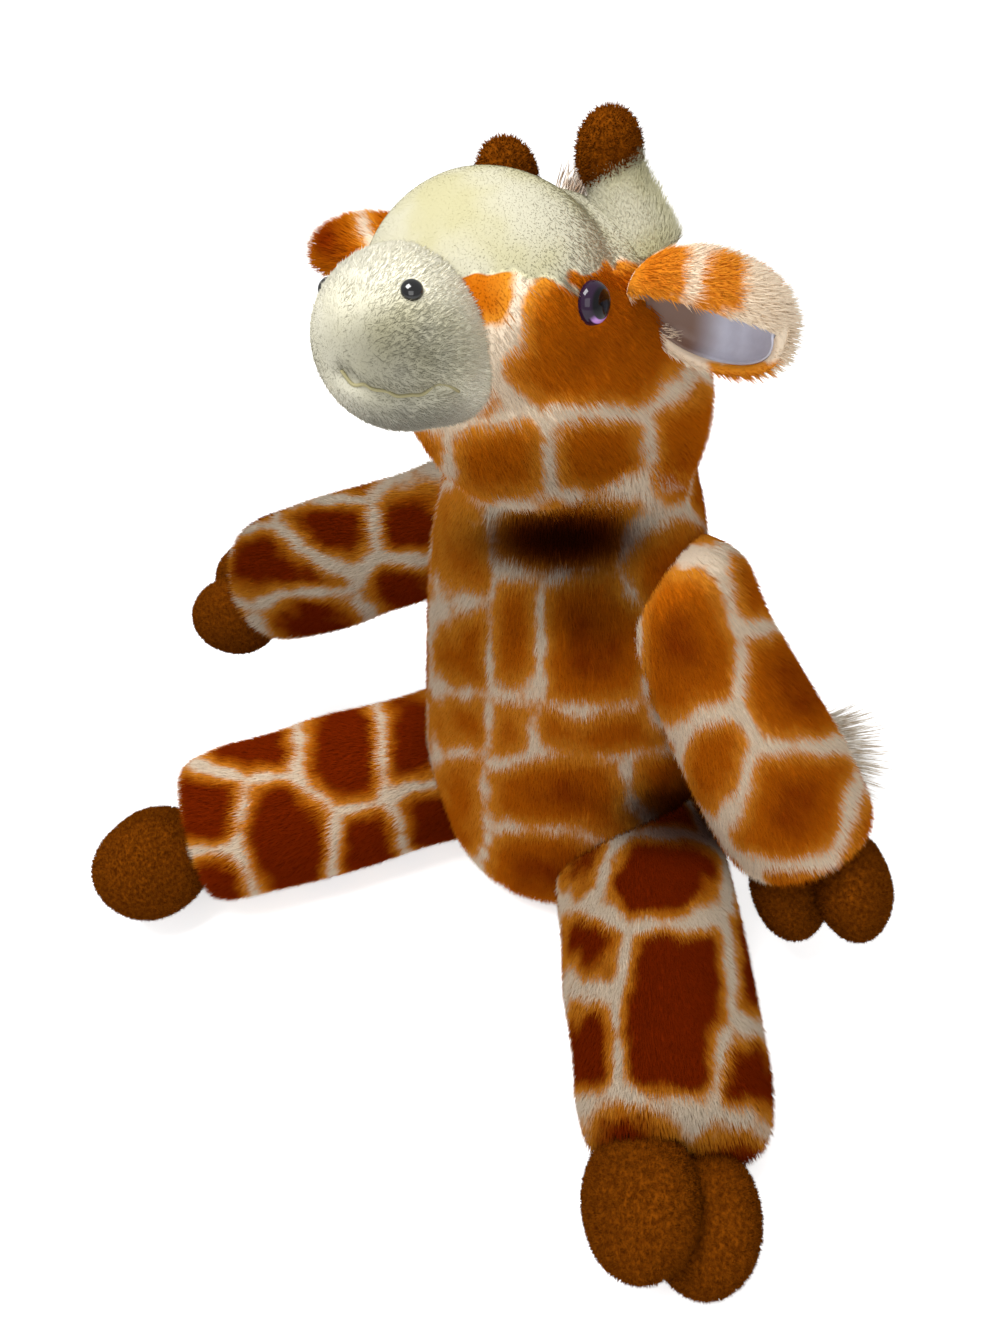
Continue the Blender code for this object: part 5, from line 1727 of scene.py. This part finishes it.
# %% The ears' piles
ear_furs = [furs["ear_" + name] for name, _ in SIDES]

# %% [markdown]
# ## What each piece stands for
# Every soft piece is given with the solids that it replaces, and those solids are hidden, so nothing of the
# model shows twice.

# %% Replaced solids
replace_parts(torso, "torso_panel_left", "torso_panel_right", "seat_panel", "torso_stuffing", "neck_stuffing")
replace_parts(head, "head_panel_left", "head_panel_right", "forehead_panel", "head_stuffing")
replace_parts(muzzle, "muzzle_panel", "chin_panel", "muzzle_stuffing")
for name, _ in SIDES:
    for kind, ends in (("arm_", ("front", "rear")), ("leg_", ("inner", "outer"))):
        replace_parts(limbs[kind + name], kind + name + "_skin", kind + name + "_stuffing")
        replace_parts(hooves[kind + name], *(kind + name + "_hoof_" + end for end in ends))
    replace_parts(ears[name], "ear_" + name + "_back")
    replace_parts(linings[name], "ear_" + name + "_lining")
    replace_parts(stems[name], "horn_" + name + "_stem")
    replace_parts(knobs[name], "horn_" + name + "_knob")
    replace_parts(eyes[name], "eye_" + name)
    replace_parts(nostrils[name], "nostril_" + name)
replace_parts(mane, "mane")
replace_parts(tail, "tail_cord")
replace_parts(tuft, "tail_tuft")

# %% [markdown]
# ## Light
# The photograph was taken in soft light from above with a weak fill from the front, so its shadows are
# faint. Two large square lamps do that. A sun would draw hard edges on the pile.

# %% Lamps
LAMP_AIM = (0, 0, 0.12)
LAMPS = {"key_light": ((-0.15, -0.35, 1.2), 0.5, 12.5), "fill_light": ((0.6, -0.9, 0.7), 0.8, 4)}


def area_lamp(name, place, size, power):
    lamp = bpy.data.lights.new(name, 'AREA')
    lamp.shape = 'SQUARE'
    lamp.size = size
    lamp.energy = power
    holder = bpy.data.objects.new(name, lamp)
    holder.location = place
    holder.rotation_mode = 'QUATERNION'
    holder.rotation_quaternion = (Vector(place) - Vector(LAMP_AIM)).to_track_quat('Z', 'Y')
    bpy.context.scene.collection.objects.link(holder)


for name, (place, size, power) in LAMPS.items():
    area_lamp(name, place, size, power)
print("lamps:", list(LAMPS))

# %% [markdown]
# ## A white ground
# The ground is white right up to the toy. A floor lit by the lamps alone would be grey, so the floor and
# the world are made brighter for camera rays only. Their own light on the toy stays as it was, and so do
# shadows.

# %% Floor and background
SKY_LIGHT, SKY_SEEN = 0.54, 0.48
PAPER_WHITE, PAPER_GLOW = (0.9, 0.9, 0.9, 1), (0.6, 0.6, 0.6, 1)
FLOOR_HALF = 9


def camera_ray(graph):
    """1 for what the camera sees directly, and 0 for light on its way."""
    return graph.node('ShaderNodeLightPath', output="Is Camera Ray")


world = bpy.data.worlds.new("studio")
bpy.context.scene.world = world
world.use_nodes = True
background = world.node_tree.nodes["Background"]
background.inputs["Color"].default_value = (1, 1, 1, 1)
graph = Graph(world.node_tree)
graph.feed(background.inputs["Strength"], camera_ray(graph) * SKY_SEEN + SKY_LIGHT)
corners = [(x * FLOOR_HALF, y * FLOOR_HALF, 0) for x, y in ((-1, -1), (1, -1), (1, 1), (-1, 1))]
floor = mesh_object("floor", corners, [(0, 1, 2, 3)])
paper, graph, shader = new_finish("paper", 0.9, Emission_Strength=1.0, Specular_IOR_Level=0.0)
shader.inputs["Base Color"].default_value = PAPER_WHITE
graph.feed(shader.inputs["Emission Color"], graph.mix(camera_ray(graph), (0, 0, 0, 1), PAPER_GLOW))
wear(floor, paper)
bpy.context.scene.view_settings.view_transform = 'Standard'
print("floor is", 2 * FLOOR_HALF, "m wide")
